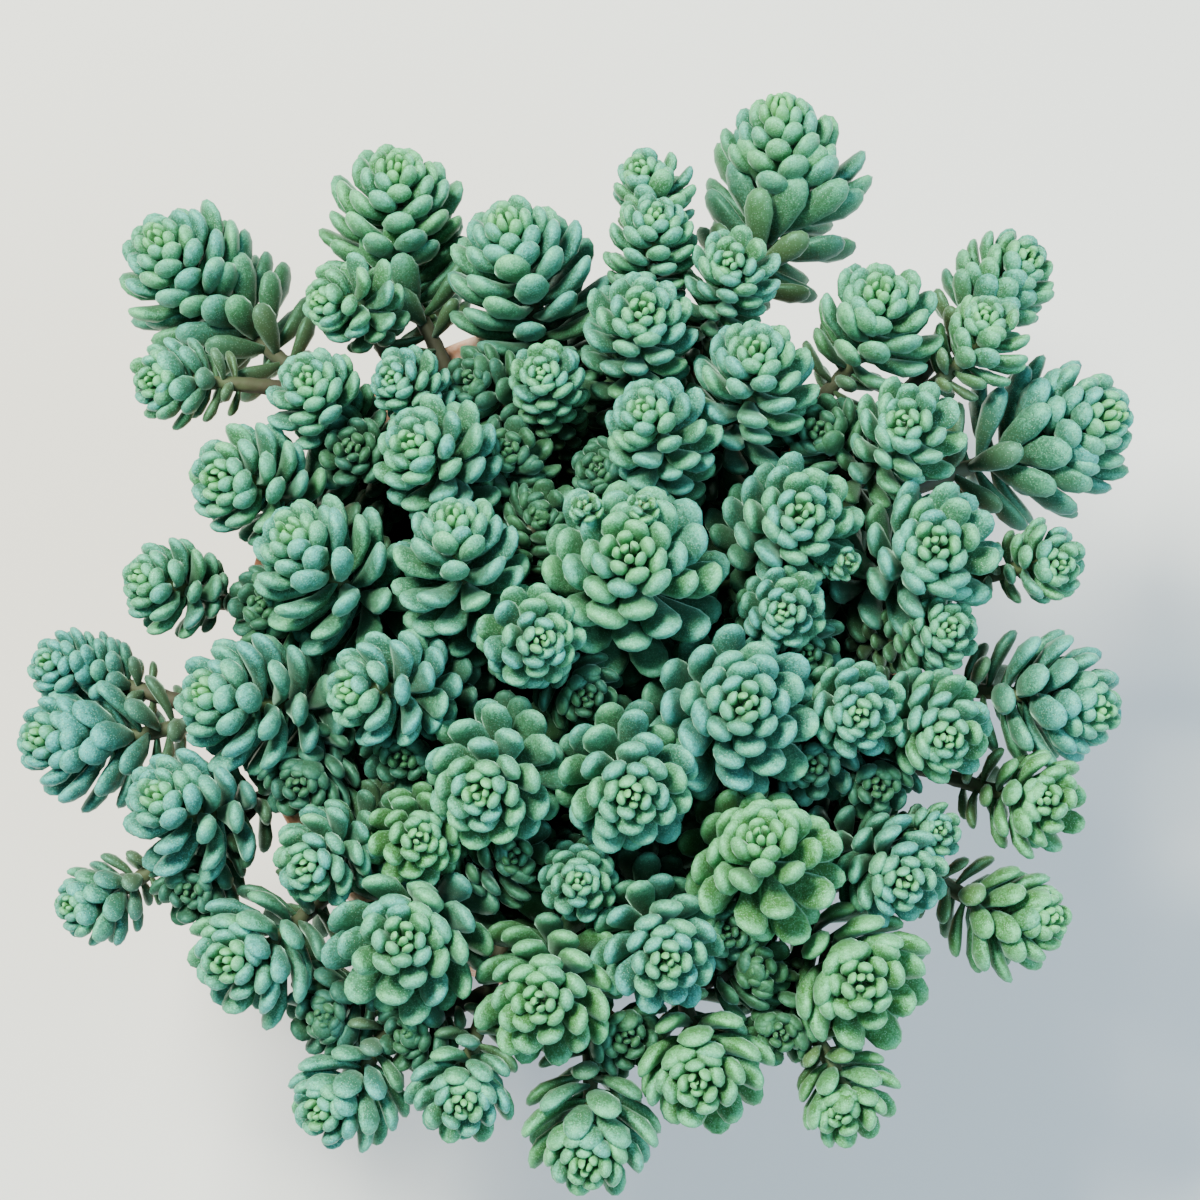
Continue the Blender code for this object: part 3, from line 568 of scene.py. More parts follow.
def in_pot_or_soil(middle, halves):
    """Whether the ellipsoid meets the pot's rim or the soil."""
    points = middle + BALL @ halves
    radius, height = np.hypot(points[:, 0], points[:, 1]), points[:, 2]
    in_soil = (radius < RIM_RADIUS) & (height < SOIL_LEVEL + OFF_SOIL)
    over_rim = (radius > RIM_RADIUS - WALL - OFF_RIM) & (radius < RIM_RADIUS + OFF_RIM)
    return bool((in_soil | (over_rim & (height < POT_HEIGHT + OFF_RIM))).any())


# Lift, swing and share of length of each try at fitting a leaf in, least change first
WAYS = [(0.0, 0.0, 1.0)] + [
    (lift * math.radians(degrees), swing * math.radians(degrees), 1 - degrees / spared)
    for degrees in (7, 14, 21, 28, 36, 44)
    for lift, swing, spared in ((1, 0, 300), (0.5, 0.8, 250), (0.5, -0.8, 250), (-0.8, 0, 250))
]


def turned_leaf(leaf, lift, swing, shorter):
    """The leaf lifted towards the bud, swung round the stem and shortened, about its root."""
    along = math.cos(lift) * leaf["along"] + math.sin(lift) * leaf["upper"]
    along = unit(math.cos(swing) * along + math.sin(swing) * leaf["side"])
    upper = unit(leaf["climb"] - along * np.dot(leaf["climb"], along))
    sizes = {"length": leaf["length"] * shorter, "width": leaf["width"] * between((0.5, 1), shorter)}
    return dict(leaf, along=along, upper=upper, side=np.cross(upper, along), **sizes)


def fitted(leaf, crowd, ends, owner):
    """The leaf, turned as little as it takes to stay clear of the other rosettes' leaves and, if it is an
    older one, of the outer parts of its own rosette's, or None."""
    for lift, swing, shorter in WAYS:
        trial = turned_leaf(leaf, lift, swing, shorter)
        end = outer_part(trial)
        if leaf["age"] >= 1 and ends.blocks(*end, owner, own=True):
            continue
        middle, halves = filled(trial)
        if not crowd.blocks(middle, halves, owner) and not in_pot_or_soil(middle, halves):
            crowd.add(middle, halves, owner)
            ends.add(*end, owner)
            return trial
    return None


def laid_out():
    """Every rosette with its stem's line and its fitted leaves. The youngest leaves take room first."""
    rosettes = {row[0]: placed_rosette(row) for row in ROSETTES}
    for number in sorted(rosettes, key=lambda key: key in BRANCHES):
        rosette = rosettes[number]
        rosette["path"] = stem_path(rosette, rosettes.get(BRANCHES.get(number)))
        rosette["line"] = stem_line(rosette)
        rosette["leaves"] = []
    waiting = []
    for number, rosette in rosettes.items():
        leaves = leaves_of(rosette, np.random.default_rng(number))
        for each in range(len(leaves["age"])):
            leaf = {key: values[each] for key, values in leaves.items()}
            waiting.append((leaf["age"] - HIGH_FIRST * (rosette["bud"][2] - DOME_EDGE), number, leaf))
    crowd, ends = Crowd(len(waiting)), Crowd(len(waiting))
    for _, number, leaf in sorted(waiting, key=lambda each: each[:2]):
        kept = fitted(leaf, crowd, ends, number)
        if kept is not None:
            rosettes[number]["leaves"].append(kept)
    return rosettes


# Surfaces


def outline(share):
    """A leaf's half outline: a power of the share along it up to its widest place, and from there a
    blunt end, the root of 1 less a power of the share of what is left."""
    first, last = OUTLINE_POWERS
    rising = (np.minimum(share, WIDEST) / WIDEST) ** first
    left = np.clip((share - WIDEST) / (1 - WIDEST), 0, 1)
    return rising * np.sqrt(1 - left**last)


def leaf_surfaces(leaves):
    """Points of every leaf: its root, rings of corners along it, and its tip, by leaf, point and axis.

    A ring is an ellipse, half the outline wide each way, flatter on the upper side than on the back.
    Its middle runs along the leaf and sags to the back by a parabola, so that the tip turns up.
    """
    share = np.concatenate([[0.0], np.repeat(RINGS, CORNERS), [1.0]])
    turn = np.concatenate([[0.0], np.tile(round_turn(CORNERS), len(RINGS)), [0.0]])
    wide = outline(share)
    across = 0.5 * wide * np.cos(turn)
    lift = np.where(np.sin(turn) > 0, UPPER_SHARE, 1 - UPPER_SHARE) * wide**0.9 * np.sin(turn)
    length, width, thick, bow = (leaves[name][:, None] for name in ("length", "width", "thick", "bow"))
    upward = lift * thick - 4 * bow * share * (1 - share) * length
    points = leaves["root"][:, None, :]
    for name, distance in (("along", share * length), ("side", across * width), ("upper", upward)):
        points = points + distance[:, :, None] * leaves[name][:, None, :]
    return points, share, np.cos(turn) * (wide > 0)


def painted_shade_by_depth(points):
    """How far points lie below the dome, from 0 at the first of the painted-shade depths to 1 at the
    second: how much painted shade they take.
    """
    below = dome_height(points) - points[..., 2]
    return np.clip((below - PAINTED_SHADE_DEPTHS[0]) / (PAINTED_SHADE_DEPTHS[1] - PAINTED_SHADE_DEPTHS[0]), 0, 1)


def kept_in_box(points):
    """Leaves slid back inside the solids' box, each as a whole by how far it stands out."""
    low, high = (np.array(corner) / MM for corner in CAD_BOX)
    over = np.maximum(points.max(axis=1) - high, 0) + np.minimum(points.min(axis=1) - low, 0)
    return np.clip(points - over[:, None, :], low, high)


def grid_faces(rows, columns, flip=False):
    """Quads of a grid of points that closes round its columns."""
    row, column = np.meshgrid(np.arange(rows - 1), np.arange(columns), indexing="ij")
    after = (column + 1) % columns
    here, there = row * columns, (row + 1) * columns
    quads = np.stack([here + column, here + after, there + after, there + column], axis=2).reshape(-1, 4)
    return quads[:, ::-1] if flip else quads


def fan(point, first, corners, flip=False):
    """Triangles that join a point to the ring of corners that starts at the first."""
    corner = np.arange(corners)
    here, after = first + corner, first + (corner + 1) % corners
    return np.stack([np.full(corners, point)] + ([after, here] if flip else [here, after]), axis=1)


def repeated(faces, count, points):
    """The faces of that many alike shapes, each with that many points."""
    return (faces + (np.arange(count) * points)[:, None, None]).reshape(-1, faces.shape[1])


def leaf_faces(count):
    """Corner numbers of the quads and the end triangles of that many leaves."""
    points = 2 + len(RINGS) * CORNERS
    root = fan(0, 1, CORNERS, flip=True)
    tip = fan(points - 1, points - 1 - CORNERS, CORNERS)
    quads = 1 + grid_faces(len(RINGS), CORNERS)
    return repeated(quads, count, points), repeated(np.vstack([root, tip]), count, points)


def below_bud(rosette):
    """The stem's line without the stretch that the youngest leaves hide."""
    kept = rosette["line"][2] > HIDDEN_STEM * rosette["reach"]
    return [rows[kept] for rows in rosette["line"]]


def tube_surface(line, sides, thickest):
    """A stem's skin: rings round its line, whose radius grows evenly down the stem to the thickest and
    swells a little, as a sine of the depth, at each leaf scar."""
    points, climbs, depth = line
    side = unit(np.cross(climbs, (1.0, 0.37, 0.21)))
    other = np.cross(climbs, side)
    turn = round_turn(sides)
    radius = thickest * (0.82 + 0.18 * depth / depth[-1]) * (1 + 0.06 * np.sin(depth * 3.1))
    ring = np.cos(turn)[:, None] * side[:, None] + np.sin(turn)[:, None] * other[:, None]
    return points[:, None] + radius[:, None, None] * ring


def new_mesh(name, points, quads, triangles, materials, numbers=None):
    """A smooth mesh of quads and triangles, each with its material's number."""
    mesh = bpy.data.meshes.new(name)
    mesh.vertices.add(len(points))
    mesh.vertices.foreach_set("co", (np.asarray(points) * MM).astype(np.float32).ravel())
    corners = np.concatenate([quads.ravel(), triangles.ravel()]).astype(np.int32)
    sizes = np.concatenate([np.full(len(quads), 4), np.full(len(triangles), 3)])
    mesh.loops.add(len(corners))
    mesh.loops.foreach_set("vertex_index", corners)
    mesh.polygons.add(len(sizes))
    mesh.polygons.foreach_set("loop_start", np.concatenate([[0], np.cumsum(sizes)[:-1]]).astype(np.int32))
    mesh.polygons.foreach_set("use_smooth", np.ones(len(sizes), bool))
    for each in materials:
        mesh.materials.append(each)
    if numbers is not None:
        mesh.polygons.foreach_set("material_index", numbers.astype(np.int32))
    mesh.update(calc_edges=True)
    mesh.validate()
    return mesh


def linked(name, data):
    """A new object of the scene that holds the data."""
    made = bpy.data.objects.new(name, data)
    bpy.context.scene.collection.objects.link(made)
    return made


def add_piece(name, mesh, node):
    """The mesh as a piece that rides on the root body and stands for a node."""
    piece = linked(name, mesh)
    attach(piece, "root")
    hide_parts(node)


def set_attribute(mesh, name, vectors):
    made = mesh.attributes.new(name, "FLOAT_VECTOR", "POINT")
    made.data.foreach_set("vector", np.asarray(vectors, np.float32).ravel())


def add_leafy_stem(root, members, materials):
    """A stem with its branches and all their leaves, as one mesh with two materials. A point's place is
    the share of the way along, the side and the painted shade it takes, and its look the age, the tone and
    the chance."""
    points, quads, triangles, place, look = [], [], [], [], []
    offset = 0
    for rosette in members:
        line = below_bud(rosette)
        tube = tube_surface(line, STEM_SIDES, min(STEM_RADIUS, THIN_STEM * rosette["reach"]))
        points.append(np.vstack([tube.reshape(-1, 3), line[0][[0, -1]]]))
        made = len(points[-1])
        quads.append(grid_faces(len(tube), STEM_SIDES, flip=True) + offset)
        triangles.append(fan(made - 2, 0, STEM_SIDES) + offset)
        triangles.append(fan(made - 1, made - 2 - STEM_SIDES, STEM_SIDES, flip=True) + offset)
        depth = np.append(np.repeat(line[2], STEM_SIDES), line[2][[0, -1]])
        # painted shade: darker deep below the dome, and over all of a low shoot
        shade = np.maximum(painted_shade_by_depth(points[-1]), rosette["dim"])
        place.append(np.stack([depth / depth[-1], 0 * depth, shade], axis=1))
        look.append(np.tile((1.0, rosette["tone"], 0.5), (made, 1)))
        offset += made
    stem_quads, stem_triangles = sum(map(len, quads)), sum(map(len, triangles))
    leaves = [leaf for rosette in members for leaf in rosette["leaves"]]
    leaves = {key: np.array([leaf[key] for leaf in leaves]) for key in leaves[0]}
    surface, share, across = leaf_surfaces(leaves)
    surface = kept_in_box(surface)
    leaf_quads, leaf_triangles = leaf_faces(len(surface))
    points.append(surface.reshape(-1, 3))
    quads.append(leaf_quads + offset)
    triangles.append(leaf_triangles + offset)
    share, across = (np.tile(each, (len(surface), 1)) for each in (share, across))
    # painted shade: darker deep below the dome, and over all of a low shoot
    shade = np.maximum(painted_shade_by_depth(surface), leaves["dim"][:, None])
    place.append(np.stack([share, across, shade], axis=2).reshape(-1, 3))
    traits = np.stack([leaves["age"], leaves["tone"], leaves["chance"]], axis=1)
    look.append(np.repeat(traits, share.shape[1], axis=0))
    quads, triangles = np.vstack(quads), np.vstack(triangles)
    numbers = np.zeros(len(quads) + len(triangles))
    numbers[:stem_quads] = 1
    numbers[len(quads) : len(quads) + stem_triangles] = 1
    name = f"leafy_stem_{root:02d}"
    mesh = new_mesh(name + "_dressed", np.vstack(points), quads, triangles, materials, numbers)
    set_attribute(mesh, "place", np.vstack(place))
    set_attribute(mesh, "look", np.vstack(look))
    add_piece(name + "_dressed", mesh, name)


def outer_radius(height):
    """The pot's outer side below its rim band, a straight taper."""
    share = height / (POT_HEIGHT - RIM_HEIGHT)
    return BASE_RADIUS + (RIM_RADIUS - RIM_STEP - BASE_RADIUS) * share


def inner_radius(height):
    """The pot's inner side, one straight taper from the floor to the lip."""
    share = (height - FLOOR) / (POT_HEIGHT - FLOOR)
    low = outer_radius(FLOOR) - WALL
    return low + (RIM_RADIUS - WALL - low) * share


def rounded(places, sizes, steps=5):
    """A closed profile of radii and heights: each corner becomes a curve that leaves its two sides at its
    size from the corner, a quadratic with the corner as its pull."""
    size = np.array(sizes)[:, None]
    before, after = np.roll(places, 1, axis=0), np.roll(places, -1, axis=0)
    start = places + unit(before - places) * size
    end = places + unit(after - places) * size
    share = np.linspace(0, 1, steps)[None, :, None]
    curve = (1 - share) ** 2 * start[:, None] + 2 * share * (1 - share) * places[:, None]
    return (curve + share**2 * end[:, None]).reshape(-1, 2)


def finely(profile, most):
    """A closed profile with points added so that none of its steps is longer than that."""
    pieces = []
    for low, high in zip(profile, np.roll(profile, -1, axis=0)):
        steps = max(1, math.ceil(np.linalg.norm(high - low) / most))
        pieces.append(low + (high - low) * np.linspace(0, 1, steps, endpoint=False)[:, None])
    return np.vstack(pieces)


def add_pot(clay):
    """The turned pot: its rounded profile carried round the axis, with the faint rings and the slow
    unevenness that throwing leaves, as small sines of height and of angle on the radius."""
    rim_foot = POT_HEIGHT - RIM_HEIGHT
    band_foot = RIM_RADIUS - RIM_TAPER
    outside = [(RIM_RADIUS, POT_HEIGHT), (band_foot, rim_foot), (outer_radius(rim_foot), rim_foot)]
    under = [(BASE_RADIUS, 0.0), (DRAIN_RADIUS, 0.0)]
    inside = [(DRAIN_RADIUS, FLOOR), (inner_radius(FLOOR), FLOOR), (RIM_RADIUS - WALL, POT_HEIGHT)]
    line = finely(rounded(np.array(outside + under + inside), ROUNDINGS), PROFILE_STEP)
    turn = round_turn(POT_SIDES)
    radius, height = line[:, :1], line[:, 1:]
    rings = 0.05 * np.sin(height * 3.9) + 0.03 * np.sin(height * 9.1 + 1)
    slow = 0.08 * np.sin(2 * turn + 0.6) + 0.06 * np.sin(3 * turn + height * 0.05)
    radius = radius - SKIN_DEPTH + (rings + slow) * np.clip(radius / 30, 0, 1)
    quads = grid_faces(len(line) + 1, POT_SIDES, flip=True) % (len(line) * POT_SIDES)
    points = polar(radius, turn, height).reshape(-1, 3)
    mesh = new_mesh("pot_dressed", points, quads, np.zeros((0, 3), int), [clay])
    add_piece("pot_dressed", mesh, "pot")


def lumps(x, y, dice, size, waves=24):
    """A sum of plane waves of random directions and phases, about that size across."""
    total = np.zeros_like(x)
    for _ in range(waves):
        angle, phase = dice.random(2) * 2 * math.pi
        pitch = 2 * math.pi / (size * dice.uniform(0.6, 1.6))
        total += np.sin((x * math.cos(angle) + y * math.sin(angle)) * pitch + phase)
    return total / math.sqrt(waves)


def crumb_surfaces(dice):
    """Loose crumbs: small balls of two rings of corners, squashed and turned each its own way, spread
    by the golden angle over the soil."""
    number = np.arange(CRUMBS)
    spread = np.sqrt((number + 0.5) / CRUMBS) * (inner_radius(SOIL_LEVEL) - 2.5)
    middle = polar(spread, number * GOLDEN_ANGLE, SOIL_LEVEL)
    middle = middle + dice.normal(0, 0.5, middle.shape)
    size = dice.uniform(*CRUMB_SIZES, (CRUMBS, 1, 1)) * dice.uniform(0.6, 1.2, (CRUMBS, 1, 3))
    sides, turn = CRUMB_SIDES, round_turn(CRUMB_SIDES)
    low, high = polar(0.85, turn, -0.5), polar(0.85, turn + 0.6, 0.5)
    ball = np.vstack([[(0, 0, -1)], low, high, [(0, 0, 1)]])
    ball = ball * (1 + dice.normal(0, 0.12, (CRUMBS, len(ball), 1)))
    tilt = dice.uniform(0, 2 * math.pi, CRUMBS)[:, None]
    x, y, z = np.moveaxis(ball * size, 2, 0)
    turned = np.stack([x * np.cos(tilt) - z * np.sin(tilt), y, x * np.sin(tilt) + z * np.cos(tilt)], axis=2)
    points = turned + middle[:, None, :]
    quads = 1 + grid_faces(2, sides)
    ends = fan(0, 1, sides, flip=True), fan(1 + 2 * sides, 1 + sides, sides)
    faces = np.vstack([ends[0], quads[:, [0, 1, 3]], quads[:, [1, 2, 3]], ends[1]])
    return points.reshape(-1, 3), repeated(faces, CRUMBS, ball.shape[1])


def add_soil(earth):
    """The soil: a plug with rounded lumps on top, a polar grid whose height is a sum of waves, and
    loose crumbs lying on it."""
    dice = np.random.default_rng(5)
    sides, rows = SOIL_SIDES, SOIL_RINGS
    turn = round_turn(sides)
    low, high = FLOOR + SEAT_GAP, SOIL_LEVEL
    foot, top = (inner_radius(height) - SEAT_GAP - SOIL_INSET for height in (low, high))
    radius = top * (1 - np.linspace(0.0, 0.995, rows))[:, None]
    x, y = radius * np.cos(turn), radius * np.sin(turn)
    rough = 0.6 * lumps(x, y, dice, LUMP_SIZES[0]) + 0.4 * lumps(x, y, dice, LUMP_SIZES[1])
    height = high - 0.4 + SOIL_LUMPS * rough * np.clip((top - radius) / 2.0, 0, 1)
    surface = np.stack([x, y, height], axis=2).reshape(-1, 3)
    points = np.vstack([polar(foot, turn, low), surface, [(0, 0, high), (0, 0, low)]])
    quads = grid_faces(rows + 1, sides)
    last = (rows + 1) * sides
    cap, base = fan(last, rows * sides, sides), fan(last + 1, 0, sides, flip=True)
    crumbs, crumb_faces = crumb_surfaces(dice)
    triangles = np.vstack([cap, base, crumb_faces + len(points)])
    mesh = new_mesh("soil_dressed", np.vstack([points, crumbs]), quads, triangles, [earth])
    add_piece("soil_dressed", mesh, "soil")


# Finishes


class Value:
    """One output of a material's nodes. Arithmetic on it adds Math nodes."""

    def __init__(self, finish, socket):
        self.finish = finish
        self.socket = socket

    def math(self, operation, *values):
        """A Math node of that operation on the values given."""
        sockets = dict(enumerate(values))
        return self.finish.node("Math", {"operation": operation}, sockets)

    def __add__(self, other):
        return self.math("ADD", self, other)

    def __radd__(self, other):
        return self.math("ADD", other, self)

    def __sub__(self, other):
        return self.math("SUBTRACT", self, other)

    def __rsub__(self, other):
        return self.math("SUBTRACT", other, self)

    def __mul__(self, other):
        return self.math("MULTIPLY", self, other)

    def __rmul__(self, other):
        return self.math("MULTIPLY", other, self)

    def __truediv__(self, other):
        return self.math("DIVIDE", self, other)

    def __rtruediv__(self, other):
        return self.math("DIVIDE", other, self)

    def held(self):
        """The value kept between 0 and 1."""
        return self.math("MINIMUM", self.math("MAXIMUM", self, 0.0), 1.0)


class Finish:
    """A material whose nodes are added by name, ending in one Principled shader."""

    def __init__(self, name):
        self.material = bpy.data.materials.new(name)
        self.material.use_nodes = True
        self.tree = self.material.node_tree
        self.shader = self.tree.nodes["Principled BSDF"]
        self.place = self.node("TexCoord", output="Object")

    def node(self, kind, settings=None, values=None, output=0):
        """A node of that type with its settings, then its sockets' values or links."""
        made = self.tree.nodes.new("ShaderNode" + kind)
        for name, setting in (settings or {}).items():
            setattr(made, name, setting)
        for name, value in (values or {}).items():
            self.plug(made.inputs[name], value)
        return Value(self, made.outputs[output])

    def plug(self, socket, value):
        if isinstance(value, Value):
            self.tree.links.new(value.socket, socket)
        elif socket.type == "RGBA" and len(value) == 3:
            socket.default_value = (*value, 1.0)
        else:
            socket.default_value = value

    def set(self, **values):
        """Values or links of the shader's own sockets, named with underscores."""
        for name, value in values.items():
            self.plug(self.shader.inputs[name.replace("_", " ").title().replace("Ior", "IOR")], value)

    def attribute(self, name):
        """The three parts of a vector attribute."""
        vector = self.node("Attribute", {"attribute_name": name}, output="Vector")
        return [self.node("SeparateXYZ", values={0: vector}, output=each) for each in range(3)]

    def noise(self, per_mm, detail, roughness, place=None):
        values = {"Vector": place or self.place, "Scale": per_mm / MM, "Detail": detail}
        return self.node("TexNoise", values=dict(values, Roughness=roughness), output="Fac")

    def cells(self, per_mm):
        """The distance to the middle of the nearest cell."""
        values = {"Vector": self.place, "Scale": per_mm / MM}
        return self.node("TexVoronoi", values=values, output="Distance")

    def bump(self, height, strength, distance, below=None):
        values = {"Height": height, "Strength": strength, "Distance": distance * MM}
        if below is not None:
            values["Normal"] = below
        return self.node("Bump", values=values)


def ease(value, low, high, start=0.0, end=1.0):
    """A smooth step of the value from start at low to end at high."""
    settings = {"interpolation_type": "SMOOTHSTEP", "clamp": True}
    return value.finish.node("MapRange", settings, {0: value, 1: low, 2: high, 3: start, 4: end})


def blend(share, first, second):
    """Two colours mixed by that share of the second."""
    return share.finish.node("Mix", {"data_type": "RGBA"}, {0: share, 6: first, 7: second}, output=2)


def leaf_finish():
    """Plump leaf skin: green flesh under a pale blue-grey bloom that lies thickest on rims and tips,
    rubbed thinner in patches, with fine blisters; the paler rims and tips are partly a painted highlight.
    Young leaves are yellower, the oldest dull. Painted shade darkens the flesh towards the root, in the
    creases between leaves, and darkens the leaves that lie deep below the dome."""
    finish = Finish("leaf_skin")
    along, across, painted_shade_share = finish.attribute("place")
    age, tone, chance = finish.attribute("look")
    patches = finish.noise(0.45, 3.0, 0.55)
    mottle = finish.noise(1.7, 2.0, 0.6)
    grain = finish.noise(5.0, 2.0, 0.6)
    blisters = finish.cells(4.2)

    greener = ease(tone + chance * 0.5 - 0.25, -0.7, 0.9)
    flesh = blend(greener, (0.022, 0.105, 0.085), (0.04, 0.14, 0.032))
    young = ease(age, 0.05, 0.42, 1.0, 0.0)
    flesh = blend(young * 0.7, flesh, (0.07, 0.31, 0.10))
    # painted shade: the flesh darkens towards the root, in the creases where the leaves meet
    base = ease(along, 0.45, 0.85, 1.0, 0.0)
    flesh = blend(base * 0.6, flesh, (0.03, 0.07, 0.027))

    mintier = tone + chance * 0.9 - 0.45 + (patches - 0.5) * 1.6 + young * 0.6
    bloom_colour = blend(ease(mintier, -0.8, 0.9), (0.075, 0.39, 0.36), (0.12, 0.46, 0.20))
    # paler rims and tips: partly the real bloom, partly a painted highlight where the edges catch light
    rim_bloom_and_highlight = ease(across * across, 0.6, 1.0) * 0.3
    tip = ease(along, 0.78, 1.0) * 0.6
    bloom = (0.08 + rim_bloom_and_highlight + tip + (patches - 0.5) * 0.9 + (mottle - 0.5) * 0.8 + (grain - 0.5) * 1.8).held()
    bloom = bloom * ease(age, 1.0, 1.5, 1.0, 0.45)
    colour = blend(bloom, flesh, bloom_colour)

    old = ease(age, 1.15, 1.8)
    colour = blend(old * 0.6, colour, (0.10, 0.12, 0.05))
    colour = blend(ease(age, 0.0, 0.3, 0.4, 0.0), colour, (0.16, 0.50, 0.14))
    dots = ease(blisters, 0.10, 0.32, 1.0, 0.0)
    colour = blend(dots * 0.42, colour, (0.38, 0.70, 0.5))
    # painted shade: leaves deep below the dome, and low shoots, are darkened
    colour = blend(painted_shade_share * 0.65, colour, (0.013, 0.031, 0.016))

    finish.set(base_color=colour, roughness=(0.44 + (grain - 0.5) * 0.3 + bloom * 0.14))
    height = dots * 0.5 + grain * 0.5
    wavy = finish.bump(patches, 0.25, 0.35)
    finish.set(normal=finish.bump(height, 0.35, 0.05, wavy))
    finish.set(subsurface_weight=0.06, subsurface_scale=MM, subsurface_radius=(0.3, 1.0, 0.35))
    finish.set(sheen_weight=0.3, sheen_roughness=0.35, sheen_tint=(0.5, 1.0, 0.75))
    finish.set(specular_ior_level=0.5, specular_tint=(0.25, 1.0, 0.7))
    return finish.material


def stem_finish():
    """Thin stem: olive near the rosette, brown and scarred lower down, with painted shade deep below the
    dome.
    """
    finish = Finish("stem_bark")
    down, _, painted_shade_share = finish.attribute("place")
    streaks = finish.noise(0.9, 4.0, 0.6)
    browner = ease(down + (streaks - 0.5) * 0.5, 0.3, 0.9)
    colour = blend(browner, (0.07, 0.12, 0.045), (0.055, 0.042, 0.022))
    colour = blend(ease(streaks, 0.55, 0.75) * 0.4, colour, (0.12, 0.11, 0.07))
    # painted shade: the stem darkens deep below the dome and on low shoots
    colour = blend(painted_shade_share * 0.7, colour, (0.012, 0.012, 0.007))
    finish.set(base_color=colour, roughness=0.75, normal=finish.bump(streaks, 0.5, 0.25))
    return finish.material


def soil_finish():
    """Dark damp potting soil: near-black crumbs with a few browner fibres and grains."""
    finish = Finish("damp_soil")
    grains = finish.noise(0.9, 6.0, 0.7)
    bits = finish.cells(0.8)
    colour = blend(ease(grains, 0.35, 0.7), (0.004, 0.0035, 0.0025), (0.014, 0.010, 0.0065))
    colour = blend(ease(bits, 0.12, 0.25, 1.0, 0.0) * 0.35, colour, (0.05, 0.032, 0.018))
    finish.set(base_color=colour, roughness=ease(grains, 0.3, 0.7, 0.75, 0.98))
    finish.set(normal=finish.bump(grains, 0.8, 0.5))
    return finish.material


def clay_finish():
    """Fired clay: warm orange-brown, mottled, with fine pores, faint turning lines, darker damp that
    rises from the foot and a chalky bloom of salts below the rim band and on its edges."""
    finish = Finish("fired_clay")
    z = finish.node("SeparateXYZ", values={0: finish.place}, output=2)
    height = z / MM
    mottle = finish.noise(0.06, 4.0, 0.6)
    fine = finish.noise(0.9, 5.0, 0.65)
    cloud = finish.noise(0.035, 3.0, 0.5)
    pores = finish.cells(1.1)
    colour = blend(ease(mottle, 0.3, 0.7), (0.40, 0.155, 0.075), (0.56, 0.245, 0.125))
    colour = blend(ease(fine, 0.35, 0.7) * 0.35, colour, (0.64, 0.33, 0.19))
    damp = ease(height + (cloud - 0.5) * 40, 6.0, 26.0, 1.0, 0.0)
    colour = blend(damp * 0.55, colour, (0.25, 0.095, 0.05))
    under_rim = ease(height, 33.0, 48.0) * ease(height, 49.0, 50.5, 1.0, 0.0)
    lip = ease(height, 56.0, 61.5)
    edges = (under_rim + lip) * ease(mottle, 0.42, 0.62)
    salts = ease(cloud, 0.45, 0.72) * 0.5 + edges * 0.55
    salts = (salts * ease(fine, 0.3, 0.62)).held()
    colour = blend(salts * 0.75, colour, (0.74, 0.66, 0.57))
    speck = ease(pores, 0.05, 0.13, 1.0, 0.0)
    colour = blend(speck * 0.55, colour, (0.17, 0.065, 0.035))
    lines = finish.noise(1.6, 3.0, 0.6, finish.node("CombineXYZ", values={2: z}))
    finish.set(base_color=colour, roughness=(0.78 + salts * 0.15 + (fine - 0.5) * 0.2 - damp * 0.1))
    finish.set(normal=finish.bump(fine * 0.6 + lines * 0.5 - speck * 0.8, 0.5, 0.22))
    return finish.material


def floor_finish():
    """Plain pale matt floor."""
    finish = Finish("pale_floor")
    soft = finish.noise(0.01, 2.0, 0.5)
    finish.set(base_color=blend(soft, (0.70, 0.71, 0.68), (0.74, 0.74, 0.71)), roughness=0.9)
    return finish.material


# Stage

# The floor's half width and how far its top lies below the pot's foot, in metres
FLOOR_REACH = 3.0
FLOOR_DROP = 0.00005

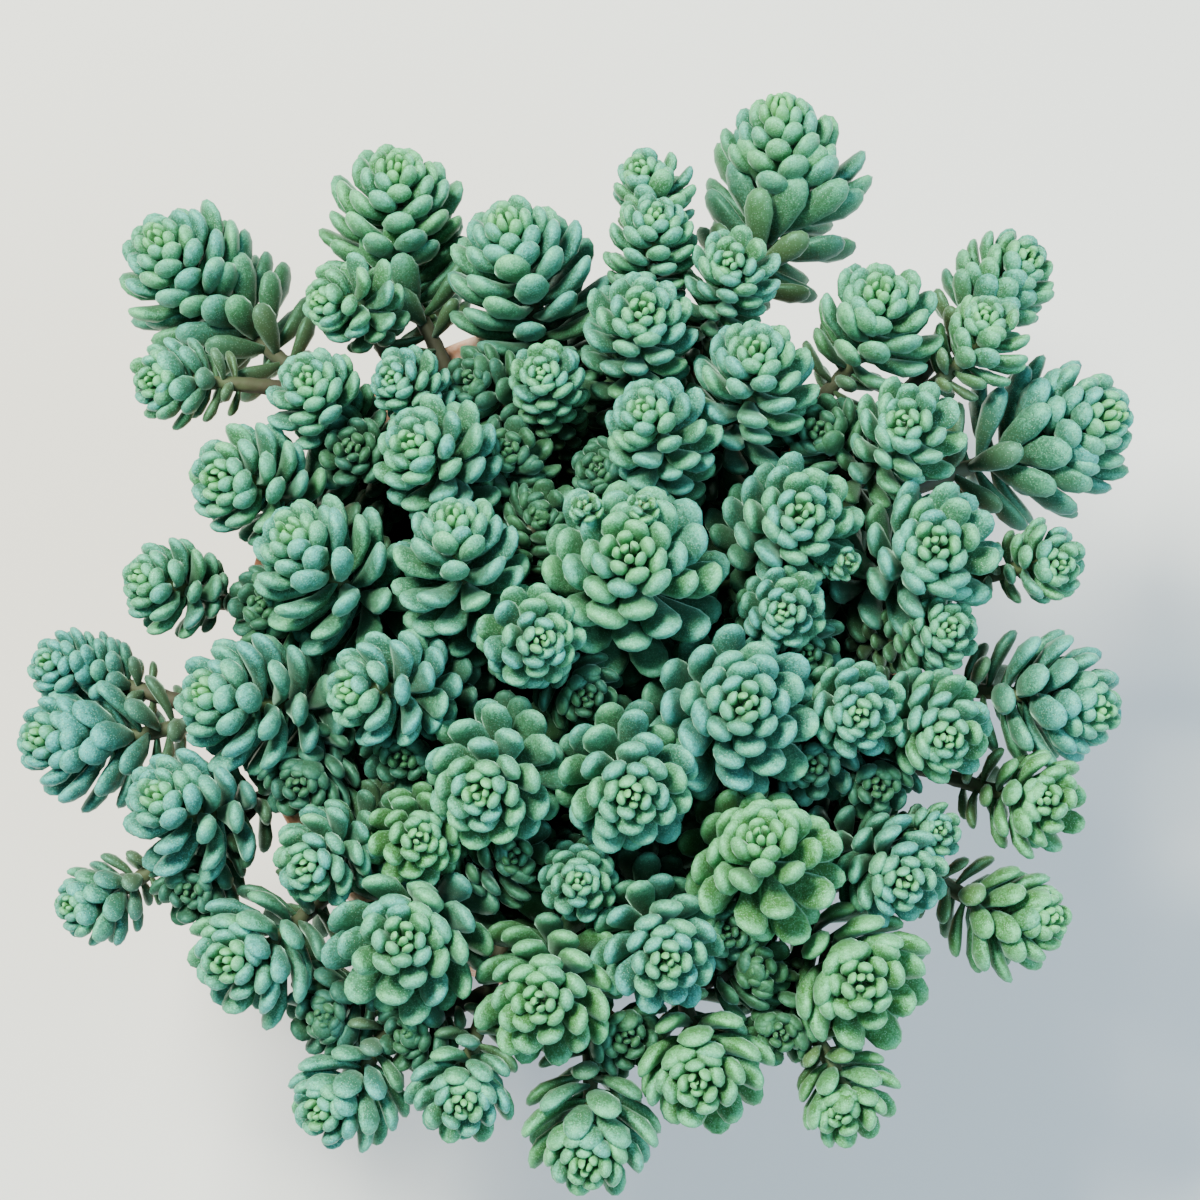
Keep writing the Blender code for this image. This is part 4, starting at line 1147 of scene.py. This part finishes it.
# Lamps: place, power in watts, width in metres and colour. Then the height they look at, and the sky.
LAMPS = {
    "key": ((-220, 190, 640), 13.8, 0.18, (1.0, 0.97, 0.82)),
    "fill": ((420, -160, 460), 5.6, 0.5, (0.54, 0.78, 1.0)),
}
LIT_HEIGHT = 70
SKY = ((0.85, 0.92, 1.0, 1.0), 0.39)
LENS = 135
FILM_WIDTH = 36


def add_floor():
    mesh = bpy.data.meshes.new("floor")
    sides = [(-1, -1), (1, -1), (1, 1), (-1, 1)]
    corners = [(x * FLOOR_REACH, y * FLOOR_REACH, -FLOOR_DROP) for x, y in sides]
    mesh.from_pydata(corners, [], [(0, 1, 2, 3)])
    mesh.materials.append(floor_finish())
    floor = linked("floor", mesh)


def matrix_of(right, up, back, place):
    """A placing matrix from three directions and a point in millimetres."""
    rows = [[right[each], up[each], back[each], place[each] * MM] for each in range(3)]
    return Matrix(rows + [[0, 0, 0, 1]])


def add_light(name, place, power, size, colour):
    """A square lamp that looks at the cushion."""
    lamp = bpy.data.lights.new(name, "AREA")
    lamp.energy = power
    lamp.size = size
    lamp.color = colour
    back = unit(np.array(place) - (0, 0, LIT_HEIGHT))
    right = unit(np.cross((0.1, 1, 0.05), back))
    linked(name, lamp).matrix_world = matrix_of(right, np.cross(back, right), back, place)


def add_camera():
    """The camera at the eye of the sheet, looking down the sight line."""
    camera = bpy.data.cameras.new("camera")
    camera.lens = LENS
    camera.sensor_width = FILM_WIDTH
    camera.clip_start = 0.01
    thing = linked("camera", camera)
    thing.matrix_world = matrix_of(RIGHT, UP, SIGHT, EYE)
    bpy.context.scene.camera = thing


def add_sky():
    world = bpy.data.worlds.new("soft_sky")
    world.use_nodes = True
    for name, value in zip(("Color", "Strength"), SKY):
        world.node_tree.nodes["Background"].inputs[name].default_value = value
    bpy.context.scene.world = world


def main():
    rosettes = laid_out()
    materials = [leaf_finish(), stem_finish()]
    for root in rosettes:
        if root not in BRANCHES:
            members = [rosettes[root]] + [rosettes[key] for key in rosettes if BRANCHES.get(key) == root]
            add_leafy_stem(root, members, materials)
    add_pot(clay_finish())
    add_soil(soil_finish())
    add_floor()
    for name, row in LAMPS.items():
        add_light(name, *row)
    add_camera()
    add_sky()


main()
